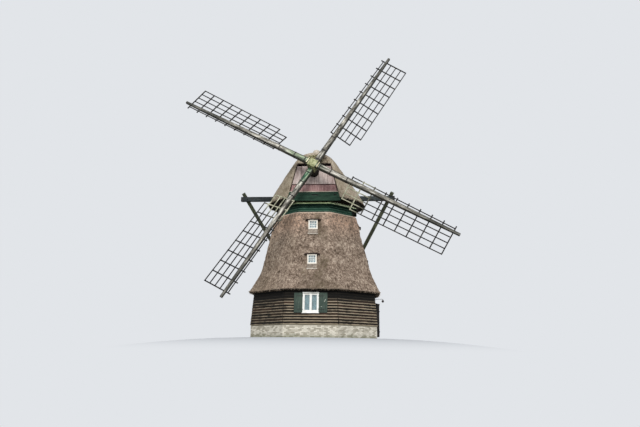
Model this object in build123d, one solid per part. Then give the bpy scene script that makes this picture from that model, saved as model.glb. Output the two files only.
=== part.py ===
from build123d import *
import math
import os

# Thatched smock mill with an octagonal tower, a turning cap, four lattice sails and a tail pole.
# Millimetres. The origin is on the tower's axis at ground level, +Z is up, the sails face -Y and
# the door faces +X. An apothem is the distance from the axis to the middle of an octagon's side.

# Plinth, boarded base storey and floors.
plinth_height = 850
plinth_apothem = 4320
plinth_thickness = 400
floor_thickness = 150
board_overhang = 22
base_wall_height = 2180
base_wall_inset = 185
base_wall_thickness = 300
base_foot_apothem = plinth_apothem + board_overhang
base_head_apothem = base_foot_apothem - base_wall_inset
base_head_height = plinth_height + base_wall_height

# Thatched smock: flared skirt, curved knee and straight batter.
eave_overhang = 388
flare_rise = 860
flare_inset = 380
knee_rise = 570
knee_inset = 398
batter_rise = 4080
batter_inset = 847
thatch_foot_thickness = 307
thatch_top_thickness = 360
eave_apothem = base_head_apothem + eave_overhang
flare_apothem = eave_apothem - flare_inset
flare_height = base_head_height + flare_rise
knee_apothem = flare_apothem - knee_inset
knee_height = flare_height + knee_rise
smock_top_apothem = knee_apothem - batter_inset
smock_top_height = knee_height + batter_rise
first_floor_rise = 770
top_storey_shortening = 180
first_floor_level = base_head_height + first_floor_rise
storey_height = (smock_top_height - first_floor_level + top_storey_shortening) / 2

# Neck between the thatch and the cap.
neck_setback = 320
neck_thickness = 160
neck_height = 710
neck_flange_depth = 120
neck_flange_width = 240
skirt_reach = 160
skirt_drop = 60
skirt_rise = 200
skirt_edge = 45
skirt_top_step = 110
curb_clearance = 10
curb_width = 330
curb_height = 250
neck_apothem = smock_top_apothem - neck_setback
neck_inner = neck_apothem - neck_thickness
neck_top = smock_top_height + neck_height
curb_outer_radius = neck_inner - curb_clearance
curb_top = neck_top + curb_height

# Windows.
base_window_width = 1050
base_window_sill_rise = 720
base_window_head_gap = 160
frame_bar = 70
frame_proud = 40
frame_back = 100
mullion_width = 90
glass_thickness = 8
shutter_width = 560
shutter_thickness = 35
base_window_sill = plinth_height + base_window_sill_rise
base_window_height = base_head_height - base_window_head_gap - base_window_sill
small_window_width = 640
small_window_height = 650
small_window_rise = 1040
small_frame_bar = 60
small_frame_depth = 200
small_frame_proud = 25
small_glass_setback = 67
apron_height = 270
apron_thickness = 30
sill_height = 90
sill_proud = 45
hood_half_width = 500
hood_rise = 330
hood_lip = 90
hood_overhang = 60
cut_margin = 200
cut_depth = 1500

# Door on the +X side.
door_width = 1000
door_height = 2100
casing_width = 120
casing_proud = 200
casing_depth = 460
stop_width = 20
door_clearance = 6
door_thickness = 50
door_proud = 5
pin_radius = 8
pin_offset = 22
pin_play = 0.3
pin_plate_width = 96
pin_arm_width = 60
eye_radius = 17
eye_height = 60
strap_thickness = 6
strap_length = 720
strap_root_gap = 12
handle_plate_width = 50
handle_plate_height = 220
handle_inset = 60
handle_bar = 20
handle_reach = 55
lever_length = 125
door_hood_rise = 110
door_hood_reach = 40
lamp_drop_from_head = 230
lamp_reach = 640
lamp_drop = 160
lamp_radius = 90
lamp_bar = 24
casing_face = plinth_apothem + casing_proud
lamp_level = base_head_height - lamp_drop_from_head

# Cap.
running_gap = 0.3
cap_ring_height = 140
soffit_thickness = 60
eave_above_curb = 100
cap_eave_overhang = 970
cap_thatch_thickness = 300
cap_hollow_levels = 6
breast_gap = 130
breast_recess = 110
breast_board = 40
breast_overhang = 45
breast_step_rise = 940
breast_rise = 2160
opening_foot_half_width = 1820
opening_slope = 0.259
opening_rise = 2450
opening_depth = 900
fascia_drop = 250
fascia_rise = 370
fascia_thickness = 80
shaft_hood_half_width = 620
shaft_hood_half_height = 330
shaft_hood_rise = 2730
shaft_hood_reach = 230
shaft_hood_rounding = 110
cap_ridge_height = 210
cap_ridge_shrink = 0.42
eave_bottom = curb_top + eave_above_curb
cap_half_width = neck_apothem + cap_eave_overhang
breast_plane = neck_apothem + skirt_reach + breast_gap
cap_front = breast_plane + breast_recess
breast_step = eave_bottom + breast_step_rise
breast_top = eave_bottom + breast_rise
opening_top = eave_bottom + opening_rise

# Plan of the cap at rising levels: rise above the eave, how much less than the eave its half width
# and half length are, how far its middle lies towards the sails, and the exponent of its curve,
# where 2 is an ellipse and more is squarer.
cap_levels = (
    (0, 0, 50, 0, 2.0),
    (800, 470, 220, 120, 2.15),
    (1700, 1170, 470, 400, 2.4),
    (2160, 1540, 620, 600, 2.5),
    (2700, 1950, 850, 800, 2.5),
    (3270, 2410, 1270, 800, 2.4),
    (3800, 2890, 1970, 550, 2.2),
    (4140, 3250, 2620, 300, 2.0),
)

# Frame and winding gear of the cap.
sheer_spacing = 2200
sheer_width = 350
sheer_depth = 470
sheer_tail = 40
spreader_size = 320
long_spreader_length = 11600
long_spreader_y = 450
short_spreader_length = 5600
short_spreader_y = 2600
brace_size = 260
brace_end_inset = 420
brace_rise = 580
long_brace_landing = 0.96
short_brace_landing = 0.8
tail_foot_y = 7450
tail_foot_height = 600
tail_pole_top_size = 420
tail_pole_foot_size = 260
winch_radius = 170
winch_length = 900
winch_height_up_pole = 620
winch_arm = 1500
winch_arm_size = 70
bearing_beam_width = 360
neck_beam_depth = 420
post_size = 260

# Rotor.
shaft_tilt = 15
hub_reach = 900
hub_rise = 2050
shaft_radius = 260
shaft_play = 0.6
shaft_clearance = 60
shaft_tail_gap = 210
neck_bearing_back = 1450
tail_bearing_inset = 240
poll_size = 570
poll_lip = 15
stock_size = 340
stock_gap = 40
stock_straight = 700
stock_tip_width = 160
stock_tip_length = 449
rest_angle = 29.8
lattice_start = 3000
bay_length = 839
bay_count = 9
lattice_width = 1680
longitudinal_count = 4
inner_weather = 20
outer_weather = 8
bar_width = 76
bar_thickness = 50
lath_width = 64
lath_thickness = 38
stub_length = 420
batten_inner_inset = 60
batten_outer_inset = 190
hub_distance = cap_front + hub_reach
hub_height = eave_bottom + hub_rise
poll_half_length = stock_size + stock_gap / 2 + poll_lip
lattice_end = lattice_start + bay_length * bay_count
sail_radius = lattice_end + stock_tip_length

HALF_SECTOR = math.radians(22.5)
sides = range(8)
FRONT, EAST, BACK, WEST = 0, 2, 4, 6
MAIN = (FRONT, EAST, BACK, WEST)
CORNERS = (1, 3, 5, 7)
WINDOWED = (FRONT, EAST, BACK)
reach = 2 * (plinth_apothem + eave_overhang)
half_doorway = door_width / 2 + casing_width
door_head = floor_thickness + door_height


def turned(shape, side):
    """Turn a shape made at the front to another side of the octagon."""
    return Rot(0, 0, 45 * side) * shape


def prism(points, half_width):
    """Extrude an outline of (distance in front of the axis, height) to both sides."""
    face = make_face(Polyline(*[(0, -a, z) for a, z in points], close=True))
    return extrude(face, amount=half_width, dir=(1, 0, 0), both=True)


def sector(low, high):
    """The eighth of space behind the front side, between two heights."""
    half = reach * math.tan(HALF_SECTOR)
    face = make_face(Polyline((0, 0, low), (-half, -reach, low), (half, -reach, low), close=True))
    return extrude(face, amount=high - low, dir=(0, 0, 1))


def side_panel(points):
    """One side of an octagonal wall with the given section, mitred at the corners."""
    low = min(z for a, z in points) - 1
    high = max(z for a, z in points) + 1
    return prism(points, reach / 2) & sector(low, high)


def octagon_ring(points):
    """A whole octagonal ring with the given section."""
    panel = side_panel(points)
    return joined([turned(panel, side) for side in sides])


def box_between(x, y, z):
    """A box from (low, high) pairs."""
    size = [pair[1] - pair[0] for pair in (x, y, z)]
    middle = [(pair[1] + pair[0]) / 2 for pair in (x, y, z)]
    return Pos(*middle) * Box(*size)


def hexahedron(first, second):
    """A solid with flat faces between two four-cornered faces."""
    faces = [Face(Wire.make_polygon(first)), Face(Wire.make_polygon(second))]
    for k in range(4):
        n = (k + 1) % 4
        faces.append(Face(Wire.make_polygon([first[k], first[n], second[n], second[k]])))
    return Solid(Shell(faces))


def beam(start, end, width, depth, up=(0, 0, 1), end_width=None, end_depth=None):
    """A straight beam between two points, tapered where end sizes are given."""
    start, end = Vector(*start), Vector(*end)
    along = (end - start).normalized()
    across = along.cross(Vector(*up)).normalized()
    upward = across.cross(along)
    corners = []
    for point, w, d in ((start, width, depth), (end, end_width or width, end_depth or depth)):
        corners.append([
            point + across * (sx * w / 2) + upward * (sy * d / 2)
            for sx, sy in ((-1, -1), (1, -1), (1, 1), (-1, 1))
        ])
    return hexahedron(*corners)


def joined(shapes):
    """Fuse shapes that meet into one."""
    result = shapes[0]
    for shape in shapes[1:]:
        result = result + shape
    return result.clean()


def ring(outer_radius, width, low, high):
    height = high - low
    outer = Pos(0, 0, low + height / 2) * Cylinder(outer_radius, height)
    return outer - Pos(0, 0, low + height / 2) * Cylinder(outer_radius - width, 2 * height)


def line_at(z, z0, a0, z1, a1):
    return a0 + (a1 - a0) * (z - z0) / (z1 - z0)


def base_outer(z):
    return line_at(z, plinth_height, base_foot_apothem, base_head_height, base_head_apothem)


def batter_outer(z):
    """Thatch face above the knee."""
    return line_at(z, knee_height, knee_apothem, smock_top_height, smock_top_apothem)


smock_foot_inner = base_head_apothem - thatch_foot_thickness
smock_top_inner = smock_top_apothem - thatch_top_thickness


def smock_inner(z):
    return line_at(z, base_head_height, smock_foot_inner, smock_top_height, smock_top_inner)


def make_plinth():
    panel = side_panel([
        (plinth_apothem - plinth_thickness, 0),
        (plinth_apothem, 0),
        (plinth_apothem, plinth_height),
        (plinth_apothem - plinth_thickness, plinth_height),
    ])
    main = [turned(panel, side) for side in MAIN if side != EAST]
    main.append(turned(panel, EAST) - doorway())
    return {
        "plinth_sides": Compound(main),
        "plinth_corners": Compound([turned(panel, side) for side in CORNERS]),
    }


def doorway():
    """Space that the doorway and its casing take from the walls."""
    back = plinth_apothem - 2 * plinth_thickness
    return box_between((back, casing_face + 1), (-half_doorway, half_doorway), (0, door_head + casing_width))


def base_panel():
    return side_panel([
        (base_foot_apothem - base_wall_thickness, plinth_height),
        (base_foot_apothem, plinth_height),
        (base_head_apothem, base_head_height),
        (base_head_apothem - base_wall_thickness, base_head_height),
    ])


def window_plane():
    """On the front base wall's face, x to the right and z outwards, at the window's middle."""
    middle = base_window_sill + base_window_height / 2
    lean = math.atan2(base_wall_inset, base_wall_height)
    return Plane(
        origin=(0, -base_outer(middle), middle),
        x_dir=(1, 0, 0),
        z_dir=(0, -math.cos(lean), math.sin(lean)),
    )


def make_base_walls():
    panel = base_panel()
    hole = window_plane() * Box(base_window_width, base_window_height, 3 * base_wall_thickness)
    front = panel - hole
    east = turned(panel, EAST)
    strip = box_between((0, reach), (-half_doorway, half_doorway), (0, reach))
    return {
        "main_walls": Compound([front, turned(front, BACK), turned(panel, WEST)]),
        "walls_beside_door": east - strip,
        "wall_over_door": (east & strip) - doorway(),
        "corner_walls": Compound([turned(panel, side) for side in CORNERS]),
    }


def octagon_plate(low_apothem, high_apothem, low, high):
    """A solid octagonal floor."""
    panel = side_panel([(0, low), (low_apothem, low), (high_apothem, high), (0, high)])
    return joined([turned(panel, side) for side in sides])


def make_floors():
    inner = plinth_apothem - plinth_thickness
    ground = octagon_plate(inner, inner, 0, floor_thickness)
    threshold = box_between((0, plinth_apothem), (-half_doorway, half_doorway), (0, floor_thickness))
    upper = []
    for level in (first_floor_level, first_floor_level + storey_height):
        low = level - floor_thickness
        upper.append(octagon_plate(smock_inner(low), smock_inner(level), low, level))
    return {"ground_floor": joined([ground, threshold]), "upper_floors": Compound(upper)}


def make_base_window():
    """Frame with a mullion, its glass and two open shutters, on the front wall."""
    plane = window_plane()
    depth = frame_proud + frame_back
    middle = (frame_proud - frame_back) / 2
    inner_width = base_window_width - 2 * frame_bar
    inner_height = base_window_height - 2 * frame_bar
    outer = Pos(0, 0, middle) * Box(base_window_width, base_window_height, depth)
    frame = outer - Pos(0, 0, middle) * Box(inner_width, inner_height, 2 * depth)
    mullion_depth = depth / 2
    mullion = Pos(0, 0, frame_proud - mullion_depth / 2) * Box(mullion_width, inner_height, mullion_depth)
    glass_z = frame_proud - mullion_depth - glass_thickness / 2
    glass = Pos(0, 0, glass_z) * Box(inner_width, inner_height, glass_thickness)
    shutters = [
        Pos(s * (base_window_width + shutter_width) / 2, 0, shutter_thickness / 2)
        * Box(shutter_width, base_window_height, shutter_thickness)
        for s in (-1, 1)
    ]
    return plane * (frame + mullion), plane * glass, [plane * shutter for shutter in shutters]


def small_window_sills():
    lowest = first_floor_level + small_window_rise
    return (lowest, lowest + storey_height)


def small_window_face(sill):
    return batter_outer(sill) + small_frame_proud


def small_window_cut(sill):
    """The square hole through the thatch."""
    half = small_window_width / 2
    face = small_window_face(sill)
    return box_between((-half, half), (-face - cut_margin, cut_depth - face),
                       (sill, sill + small_window_height))


def make_small_window(sill):
    """Upright frame with an apron and sill, its glass and the thatch hood above, at the front."""
    head = sill + small_window_height
    face = small_window_face(sill)
    half = small_window_width / 2
    inner = half - small_frame_bar
    opening = (sill + small_frame_bar, head - small_frame_bar)
    outer = box_between((-half, half), (-face, small_frame_depth - face), (sill, head))
    hole = box_between((-inner, inner), (-face - 1, small_frame_depth + 1 - face), opening)
    foot = sill - apron_height
    apron = prism([
        (batter_outer(sill), sill), (face, sill),
        (batter_outer(foot) + apron_thickness, foot), (batter_outer(foot), foot),
    ], half)
    low = foot - sill_height
    ledge = prism([
        (batter_outer(foot), foot), (batter_outer(foot) + apron_thickness + sill_proud, foot),
        (batter_outer(low) + apron_thickness + sill_proud, low), (batter_outer(low), low),
    ], half + apron_thickness)
    frame = joined([outer - hole, apron, ledge])
    glass_y = small_glass_setback - face
    glass = box_between((-inner, inner), (glass_y, glass_y + glass_thickness), opening)
    hood = prism([
        (batter_outer(head), head), (face + hood_overhang, head),
        (face + hood_overhang, head + hood_lip), (batter_outer(head + hood_rise), head + hood_rise),
    ], hood_half_width)
    return frame, glass, hood


def make_windows():
    frame, glass, shutters = make_base_window()
    base_frames, panes, leaves = [], [], []
    for side in (FRONT, BACK):
        base_frames.append(turned(frame, side))
        panes.append(turned(glass, side))
        leaves += [turned(leaf, side) for leaf in shutters]
    small_frames, hoods = [], []
    for sill in small_window_sills():
        frame, glass, hood = make_small_window(sill)
        for side in WINDOWED:
            small_frames.append(turned(frame, side))
            panes.append(turned(glass, side))
            hoods.append(turned(hood, side))
    return {
        "base_window_frames": Compound(base_frames),
        "shutters": Compound(leaves),
        "small_window_frames": Compound(small_frames),
        "window_glass": Compound(panes),
        "window_hoods": Compound(hoods),
    }


def thatch_panel():
    """One thatched side: straight batter, a curved knee and a flared skirt down to the eave."""
    eave = (0, -eave_apothem, base_head_height)
    flare = (0, -flare_apothem, flare_height)
    knee = (0, -knee_apothem, knee_height)
    top = (0, -smock_top_apothem, smock_top_height)
    top_inner = (0, -smock_top_inner, smock_top_height)
    foot_inner = (0, -smock_foot_inner, base_head_height)
    skirt_line = Line(eave, flare)
    batter_line = Line(knee, top)
    bend = Spline(flare, knee, tangents=[skirt_line % 1, batter_line % 0])
    outline = [skirt_line, bend, batter_line, Line(top, top_inner),
               Line(top_inner, foot_inner), Line(foot_inner, eave)]
    solid = extrude(make_face(Wire(outline)), amount=reach / 2, dir=(1, 0, 0), both=True)
    return solid & sector(base_head_height - 1, smock_top_height + 1)


def make_thatch():
    panel = thatch_panel()
    windowed = panel
    for sill in small_window_sills():
        windowed = windowed - small_window_cut(sill)
    main = [turned(windowed, side) for side in WINDOWED] + [turned(panel, WEST)]
    return {
        "thatch_main_sides": Compound(main),
        "thatch_corner_sides": Compound([turned(panel, side) for side in CORNERS]),
    }


def make_neck():
    flange_inner = neck_inner - neck_flange_width
    flange_bottom = neck_top - neck_flange_depth
    drum = octagon_ring([
        (neck_inner, smock_top_height), (neck_apothem, smock_top_height), (neck_apothem, neck_top),
        (flange_inner, neck_top), (flange_inner, flange_bottom), (neck_inner, flange_bottom),
    ])
    skirt_edge_apothem = neck_apothem + skirt_reach
    skirt_low = neck_top - skirt_drop
    skirt = octagon_ring([
        (neck_inner, neck_top), (neck_apothem, neck_top), (neck_apothem, skirt_low),
        (skirt_edge_apothem, skirt_low), (skirt_edge_apothem, skirt_low + skirt_edge),
        (neck_apothem - skirt_top_step, neck_top + skirt_rise), (neck_inner, neck_top + skirt_rise),
    ])
    curb = ring(curb_outer_radius, curb_width, neck_top, curb_top)
    return {"neck_drum": drum, "drip_skirt": skirt, "curb": curb}


pin_x = casing_face + door_proud + pin_offset
pin_y = -door_width / 2 + door_clearance / 2


def strap_levels():
    margin = door_height / 6
    return (floor_thickness + margin, door_head - margin)


def make_casing():
    """Jambs with door stops, and the head with its small sloped hood."""
    half = door_width / 2
    back = casing_face - casing_depth
    stop_face = casing_face + door_proud - door_thickness - door_clearance
    jambs = []
    for s in (-1, 1):
        post = box_between((back, casing_face), sorted((s * half, s * half_doorway)),
                           (floor_thickness, door_head))
        stop = box_between((back, stop_face), sorted((s * (half - stop_width), s * half)),
                           (floor_thickness, door_head))
        jambs.append((post + stop).clean())
    head_high = door_head + casing_width
    head = box_between((back, casing_face), (-half_doorway, half_doorway), (door_head, head_high))
    front = casing_face + door_hood_reach
    hood_top = head_high + door_hood_rise
    hood = Rot(0, 0, 90) * prism([
        (base_outer(head_high), head_high), (front, head_high),
        (front, head_high + door_hood_reach), (base_outer(hood_top), hood_top),
    ], half_doorway + door_hood_reach)
    return {"door_jambs": Compound(jambs), "door_head": joined([head, hood])}


def make_pins():
    """Hinge pins on plates beside the door."""
    edge = -door_width / 2
    pins = []
    for level in strap_levels():
        base_low = level - eye_height / 2 - eye_radius
        base_high = level - eye_height / 2 - running_gap
        pin_high = level + eye_height / 2
        plate = box_between((casing_face, casing_face + strap_thickness),
                            (edge - pin_plate_width, edge - door_clearance),
                            (level - eye_height, level + eye_height))
        arm = box_between((casing_face, pin_x), (edge - pin_arm_width, edge - door_clearance),
                          (base_low, base_high))
        disc = Pos(pin_x, pin_y, (base_low + base_high) / 2) * Cylinder(eye_radius, base_high - base_low)
        pin = Pos(pin_x, pin_y, (base_low + pin_high) / 2) * Cylinder(pin_radius, pin_high - base_low)
        pins.append(joined([plate, arm, disc, pin]))
    return {"door_pins": Compound(pins)}


def make_lamp():
    """Globe lamp hanging from an arm over the door."""
    arm_start = base_outer(lamp_level - lamp_bar / 2)
    arm_end = arm_start + lamp_reach
    arm = beam((arm_start, 0, lamp_level), (arm_end, 0, lamp_level), lamp_bar, lamp_bar)
    globe_level = lamp_level - lamp_drop
    stem = box_between((arm_end - lamp_bar, arm_end), (-lamp_bar / 2, lamp_bar / 2),
                       (globe_level, lamp_level))
    globe = Pos(arm_end - lamp_bar / 2, 0, globe_level) * Sphere(lamp_radius)
    return {"door_lamp": joined([arm, stem, globe])}


def make_door():
    half = door_width / 2 - door_clearance
    face = casing_face + door_proud
    leaf = box_between((face - door_thickness, face), (-half, half),
                       (floor_thickness + door_clearance, door_head - door_clearance))
    fittings = []
    for level in strap_levels():
        height = (level - eye_height / 2, level + eye_height / 2)
        strap = box_between((face, face + strap_thickness), (eye_radius - half, strap_length - half), height)
        root_end = eye_radius - half + strap_thickness
        root = box_between((face, pin_x), (pin_y + strap_root_gap, root_end), height)
        eye = Pos(pin_x, pin_y, level) * Cylinder(eye_radius, eye_height)
        hole = Pos(pin_x, pin_y, level) * Cylinder(pin_radius + pin_play, 2 * eye_height)
        fittings.append((joined([strap, root, eye]) - hole).clean())
    level = floor_thickness + door_height / 2
    edge = half - handle_inset
    middle = edge - handle_plate_width / 2
    bar = (level - handle_bar / 2, level + handle_bar / 2)
    plate = box_between((face, face + strap_thickness), (edge - handle_plate_width, edge),
                        (level - handle_plate_height / 2, level + handle_plate_height / 2))
    neck = box_between((face, face + handle_reach), (middle - handle_bar / 2, middle + handle_bar / 2), bar)
    lever = box_between((face + handle_reach - handle_bar, face + handle_reach),
                        (middle - lever_length, middle + handle_bar / 2), bar)
    fittings.append(joined([plate, neck, lever]))
    return {"door_leaf": leaf, "door_fittings": Compound(fittings)}


def plan_face(rise, width_loss, length_loss, forward, power, inset=0):
    """The cap's plan at one level: a curve between an ellipse and a rounded rectangle."""
    half_width = cap_half_width - width_loss - inset
    half_length = cap_half_width - length_loss - inset
    points = []
    for step in range(24):
        angle = math.radians(15 * step - 90)
        c, s = math.cos(angle), math.sin(angle)
        size = (abs(c) ** power + abs(s) ** power) ** (-1 / power)
        points.append((half_width * size * c, half_length * size * s - forward, eave_bottom + rise))
    return make_face(Spline(*points, periodic=True))


def cap_body(inset):
    """The cap's rounded form, or the hollow a thatch's thickness inside it."""
    levels = cap_levels[:cap_hollow_levels] if inset else cap_levels
    return loft([plan_face(*row, inset=inset) for row in levels])


def opening_half(z):
    return opening_foot_half_width - opening_slope * (z - eave_bottom)


def front_trapezoid(low, high, near, far):
    """A board across the front opening between two distances in front of the axis."""
    corners = [
        (-opening_half(low), low), (opening_half(low), low),
        (opening_half(high), high), (-opening_half(high), high),
    ]
    first = [Vector(x, -near, z) for x, z in corners]
    second = [Vector(x, -far, z) for x, z in corners]
    return hexahedron(first, second)


ring_low = curb_top + running_gap
ring_high = curb_top + cap_ring_height
soffit_top = ring_high + soffit_thickness
sheer_top = soffit_top + sheer_depth
spreader_level = sheer_top + spreader_size / 2

tilt = math.radians(shaft_tilt)
hub = Vector(0, -hub_distance, hub_height)
shaft_out = Vector(0, -math.cos(tilt), math.sin(tilt))
rotor_up = Vector(0, math.sin(tilt), math.cos(tilt))
rotor_right = Vector(1, 0, 0)
shaft_end_y = long_spreader_y - spreader_size / 2 - shaft_tail_gap
shaft_length = (hub_distance + shaft_end_y) / math.cos(tilt)
tail_bearing_back = shaft_length - tail_bearing_inset


def shaft_point(distance):
    """A point on the shaft's axis, measured outwards from the hub."""
    return hub + shaft_out * distance


def shaft_cylinder(radius, near, far):
    """A cylinder on the shaft's axis between two distances behind the hub."""
    plane = Plane(origin=shaft_point(-far), z_dir=shaft_out)
    return plane * (Pos(0, 0, (far - near) / 2) * Cylinder(radius, far - near))


def front_block(distance):
    """Everything further than this in front of the axis."""
    return box_between((-reach, reach), (-reach, -distance), (0, 2 * reach))


def make_cap_frame(pole):
    cap_ring = ring(curb_outer_radius, curb_width, ring_low, ring_high)
    eave_plan = plan_face(*cap_levels[0], inset=cap_thatch_thickness)
    plate = Pos(0, 0, ring_high - eave_bottom) * extrude(eave_plan, amount=soffit_thickness, dir=(0, 0, 1))
    well = Pos(0, 0, ring_high) * Cylinder(curb_outer_radius - curb_width, 4 * soffit_thickness)
    soffit = ((plate - well - front_block(breast_plane)) & cap_body(cap_thatch_thickness)) - pole
    sheer_back = short_spreader_y + spreader_size / 2 + sheer_tail
    sheers = [
        box_between((s * sheer_spacing / 2 - sheer_width / 2, s * sheer_spacing / 2 + sheer_width / 2),
                    (-breast_plane, sheer_back), (soffit_top, sheer_top))
        for s in (-1, 1)
    ]
    return {"cap_ring": cap_ring, "cap_soffit": soffit, "sheers": Compound(sheers)}


def make_cap_cover(carried):
    """Thatch shell round what the frame carries, its ridge and the rounded roll over the shaft."""
    opening_low = eave_bottom - soffit_thickness
    opening = front_trapezoid(opening_low, opening_top, reach, breast_plane - opening_depth)
    body = cap_body(0) - front_block(cap_front) - opening
    for piece in carried:
        for solid in piece.solids():
            body = body - solid
    hollow = cap_body(cap_thatch_thickness) - front_block(cap_front - cap_thatch_thickness)
    shell = body - hollow
    rise, width_loss, length_loss, forward, power = cap_levels[-1]
    half_width = (cap_half_width - width_loss) * cap_ridge_shrink
    half_length = (cap_half_width - length_loss) * cap_ridge_shrink
    ridge = loft([
        plan_face(*cap_levels[-1]),
        plan_face(rise + cap_ridge_height, cap_half_width - half_width, cap_half_width - half_length,
                  forward, power),
    ])
    plane = Plane(origin=(0, -cap_front, eave_bottom + shaft_hood_rise), x_dir=(1, 0, 0), z_dir=(0, -1, 0))
    roll = extrude(plane * Ellipse(shaft_hood_half_width, shaft_hood_half_height), amount=shaft_hood_reach)
    front_edge = roll.faces().sort_by(Axis.Y)[0].edges()
    hood = fillet(front_edge, min(shaft_hood_rounding, shaft_hood_reach / 2))
    return {"cap_thatch": shell, "cap_ridge": ridge, "shaft_hood": hood}


def make_breast():
    slot_half = shaft_radius + shaft_clearance
    slot = shaft_cylinder(slot_half, 0, shaft_length)
    slot = slot + box_between((-slot_half, slot_half), (-cap_front, -breast_plane + breast_board),
                              (axis_height(-breast_plane), breast_top + breast_board))
    back = breast_plane
    front = back + breast_board
    lower = front_trapezoid(soffit_top, breast_step, front, back)
    upper = front_trapezoid(breast_step, breast_top, front + breast_overhang, back)
    fascia_low = eave_bottom - fascia_drop
    fascia_high = eave_bottom + fascia_rise
    fascia = front_trapezoid(fascia_low, fascia_high, front + fascia_thickness, front)
    return {"breast_boards": joined([lower, upper]) - slot, "cap_fascia": fascia}


def axis_height(y):
    """Height of the shaft's axis above a place along the mill."""
    return hub_height - (y + hub_distance) * math.tan(tilt)


def bearing_place(back):
    """Middle along the mill, and front and back of the beam, for a bearing behind the hub."""
    y = back * math.cos(tilt) - hub_distance
    return y, (y - bearing_beam_width / 2, y + bearing_beam_width / 2)


def make_shaft_beams():
    """Portal under the shaft's neck and cross beam under its tail, each with a seat for the shaft."""
    half_span = sheer_spacing / 2
    seat = shaft_cylinder(shaft_radius + shaft_play, 0, shaft_length + 2 * shaft_radius)
    y, y_range = bearing_place(neck_bearing_back)
    neck_low = axis_height(y) - shaft_radius - neck_beam_depth
    width = half_span + post_size / 2
    cross = box_between((-width, width), y_range, (neck_low, axis_height(y)))
    posts = [
        box_between((s * half_span - post_size / 2, s * half_span + post_size / 2), y_range,
                    (sheer_top, neck_low))
        for s in (-1, 1)
    ]
    y, y_range = bearing_place(tail_bearing_back)
    inner = half_span - sheer_width / 2
    tail = box_between((-inner, inner), y_range, (soffit_top, axis_height(y)))
    return {"shaft_beams": Compound([joined([cross] + posts) - seat, tail - seat])}


def spreader(length, y):
    return box_between((-length / 2, length / 2), (y - spreader_size / 2, y + spreader_size / 2),
                       (sheer_top, sheer_top + spreader_size))


def make_braces(head, foot, cutters):
    """Four braces from the spreaders' ends down to the tail pole."""
    braces = []
    for length, y, landing in (
        (long_spreader_length, long_spreader_y, long_brace_landing),
        (short_spreader_length, short_spreader_y, short_brace_landing),
    ):
        land = head + (foot - head) * landing
        for s in (-1, 1):
            crossing = Vector(s * (length / 2 - brace_end_inset), y + spreader_size / 2, spreader_level)
            run = (crossing - land).normalized()
            brace = beam(crossing + run * brace_rise, land, brace_size, brace_size, up=(0, 1, 0))
            for cutter in cutters:
                brace = brace - cutter
            braces.append(max(brace.solids(), key=lambda solid: solid.volume))
    return Compound(braces)


def make_winch(head, foot):
    """Drum with crossed arms on the outer side of the tail pole's foot."""
    down = (foot - head).normalized()
    side = Vector(1, 0, 0)
    normal = side.cross(down).normalized()
    centre = foot - down * winch_height_up_pole
    centre = centre + normal * (tail_pole_foot_size / 2 + winch_radius)
    drum = Plane(origin=centre, z_dir=side) * Cylinder(winch_radius, winch_length)
    arm_place = winch_length / 2 - winch_arm_size
    arms = [
        Plane(origin=centre + side * (s * arm_place), z_dir=side) * (Rot(0, 0, 45) * box)
        for s in (-1, 1)
        for box in (Box(winch_arm, winch_arm_size, winch_arm_size),
                    Box(winch_arm_size, winch_arm, winch_arm_size))
    ]
    return joined([drum] + arms)


def make_tail():
    """Spreaders, braces, tail pole and winch behind the cap."""
    spreaders = [spreader(long_spreader_length, long_spreader_y),
                 spreader(short_spreader_length, short_spreader_y)]
    head = Vector(0, short_spreader_y + spreader_size / 2 + tail_pole_top_size / 2, spreader_level)
    foot = Vector(0, tail_foot_y, tail_foot_height)
    pole = beam(head, foot, tail_pole_top_size, tail_pole_top_size, up=(0, 1, 0),
                end_width=tail_pole_foot_size, end_depth=tail_pole_foot_size)
    pole = pole - spreaders[1]
    return {
        "spreaders": Compound(spreaders),
        "braces": make_braces(head, foot, spreaders + [pole]),
        "tail_pole": pole,
        "winch": make_winch(head, foot) - pole,
    }


def sail_frame(angle):
    """Radial and clockwise directions of a sail, seen from the front."""
    t = math.radians(angle)
    radial = rotor_right * math.sin(t) + rotor_up * math.cos(t)
    clockwise = rotor_right * math.cos(t) - rotor_up * math.sin(t)
    return radial, clockwise


def sail_point(angle, offset, radius, across):
    """A point of the twisted sail surface, and the direction across it there."""
    radial, clockwise = sail_frame(angle)
    weather = math.radians(line_at(radius, lattice_start, inner_weather, lattice_end, outer_weather))
    chord = clockwise * math.cos(weather) - shaft_out * math.sin(weather)
    return shaft_point(offset) + radial * radius + chord * across, chord


def make_lattice(angle, offset):
    """Cross bars through the stock, long laths on them and the leading batten."""
    radial, clockwise = sail_frame(angle)
    spacing = lattice_width / longitudinal_count
    bars = []
    for bay in range(bay_count + 1):
        radius = lattice_start + bay_length * bay
        width = lattice_width + lath_width / 2 if bay else lattice_width - spacing + lath_width / 2
        start, chord = sail_point(angle, offset, radius, -stub_length)
        end, chord = sail_point(angle, offset, radius, width)
        bars.append(beam(start, end, bar_width, bar_thickness, up=radial.cross(chord)))
    laths = []
    for k in range(1, longitudinal_count + 1):
        first = lattice_start if k < longitudinal_count else lattice_start + bay_length
        laths.append((first, k * spacing, k * spacing))
    laths.append((lattice_start, batten_inner_inset - stub_length, batten_outer_inset - stub_length))
    for first, across_first, across_last in laths:
        start, chord = sail_point(angle, offset, first - bar_width / 2, across_first)
        end, chord = sail_point(angle, offset, lattice_end + bar_width / 2, across_last)
        bars.append(beam(start, end, lath_width, lath_thickness, up=radial.cross(chord)))
    return joined(bars), bars[:bay_count + 1]


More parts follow.
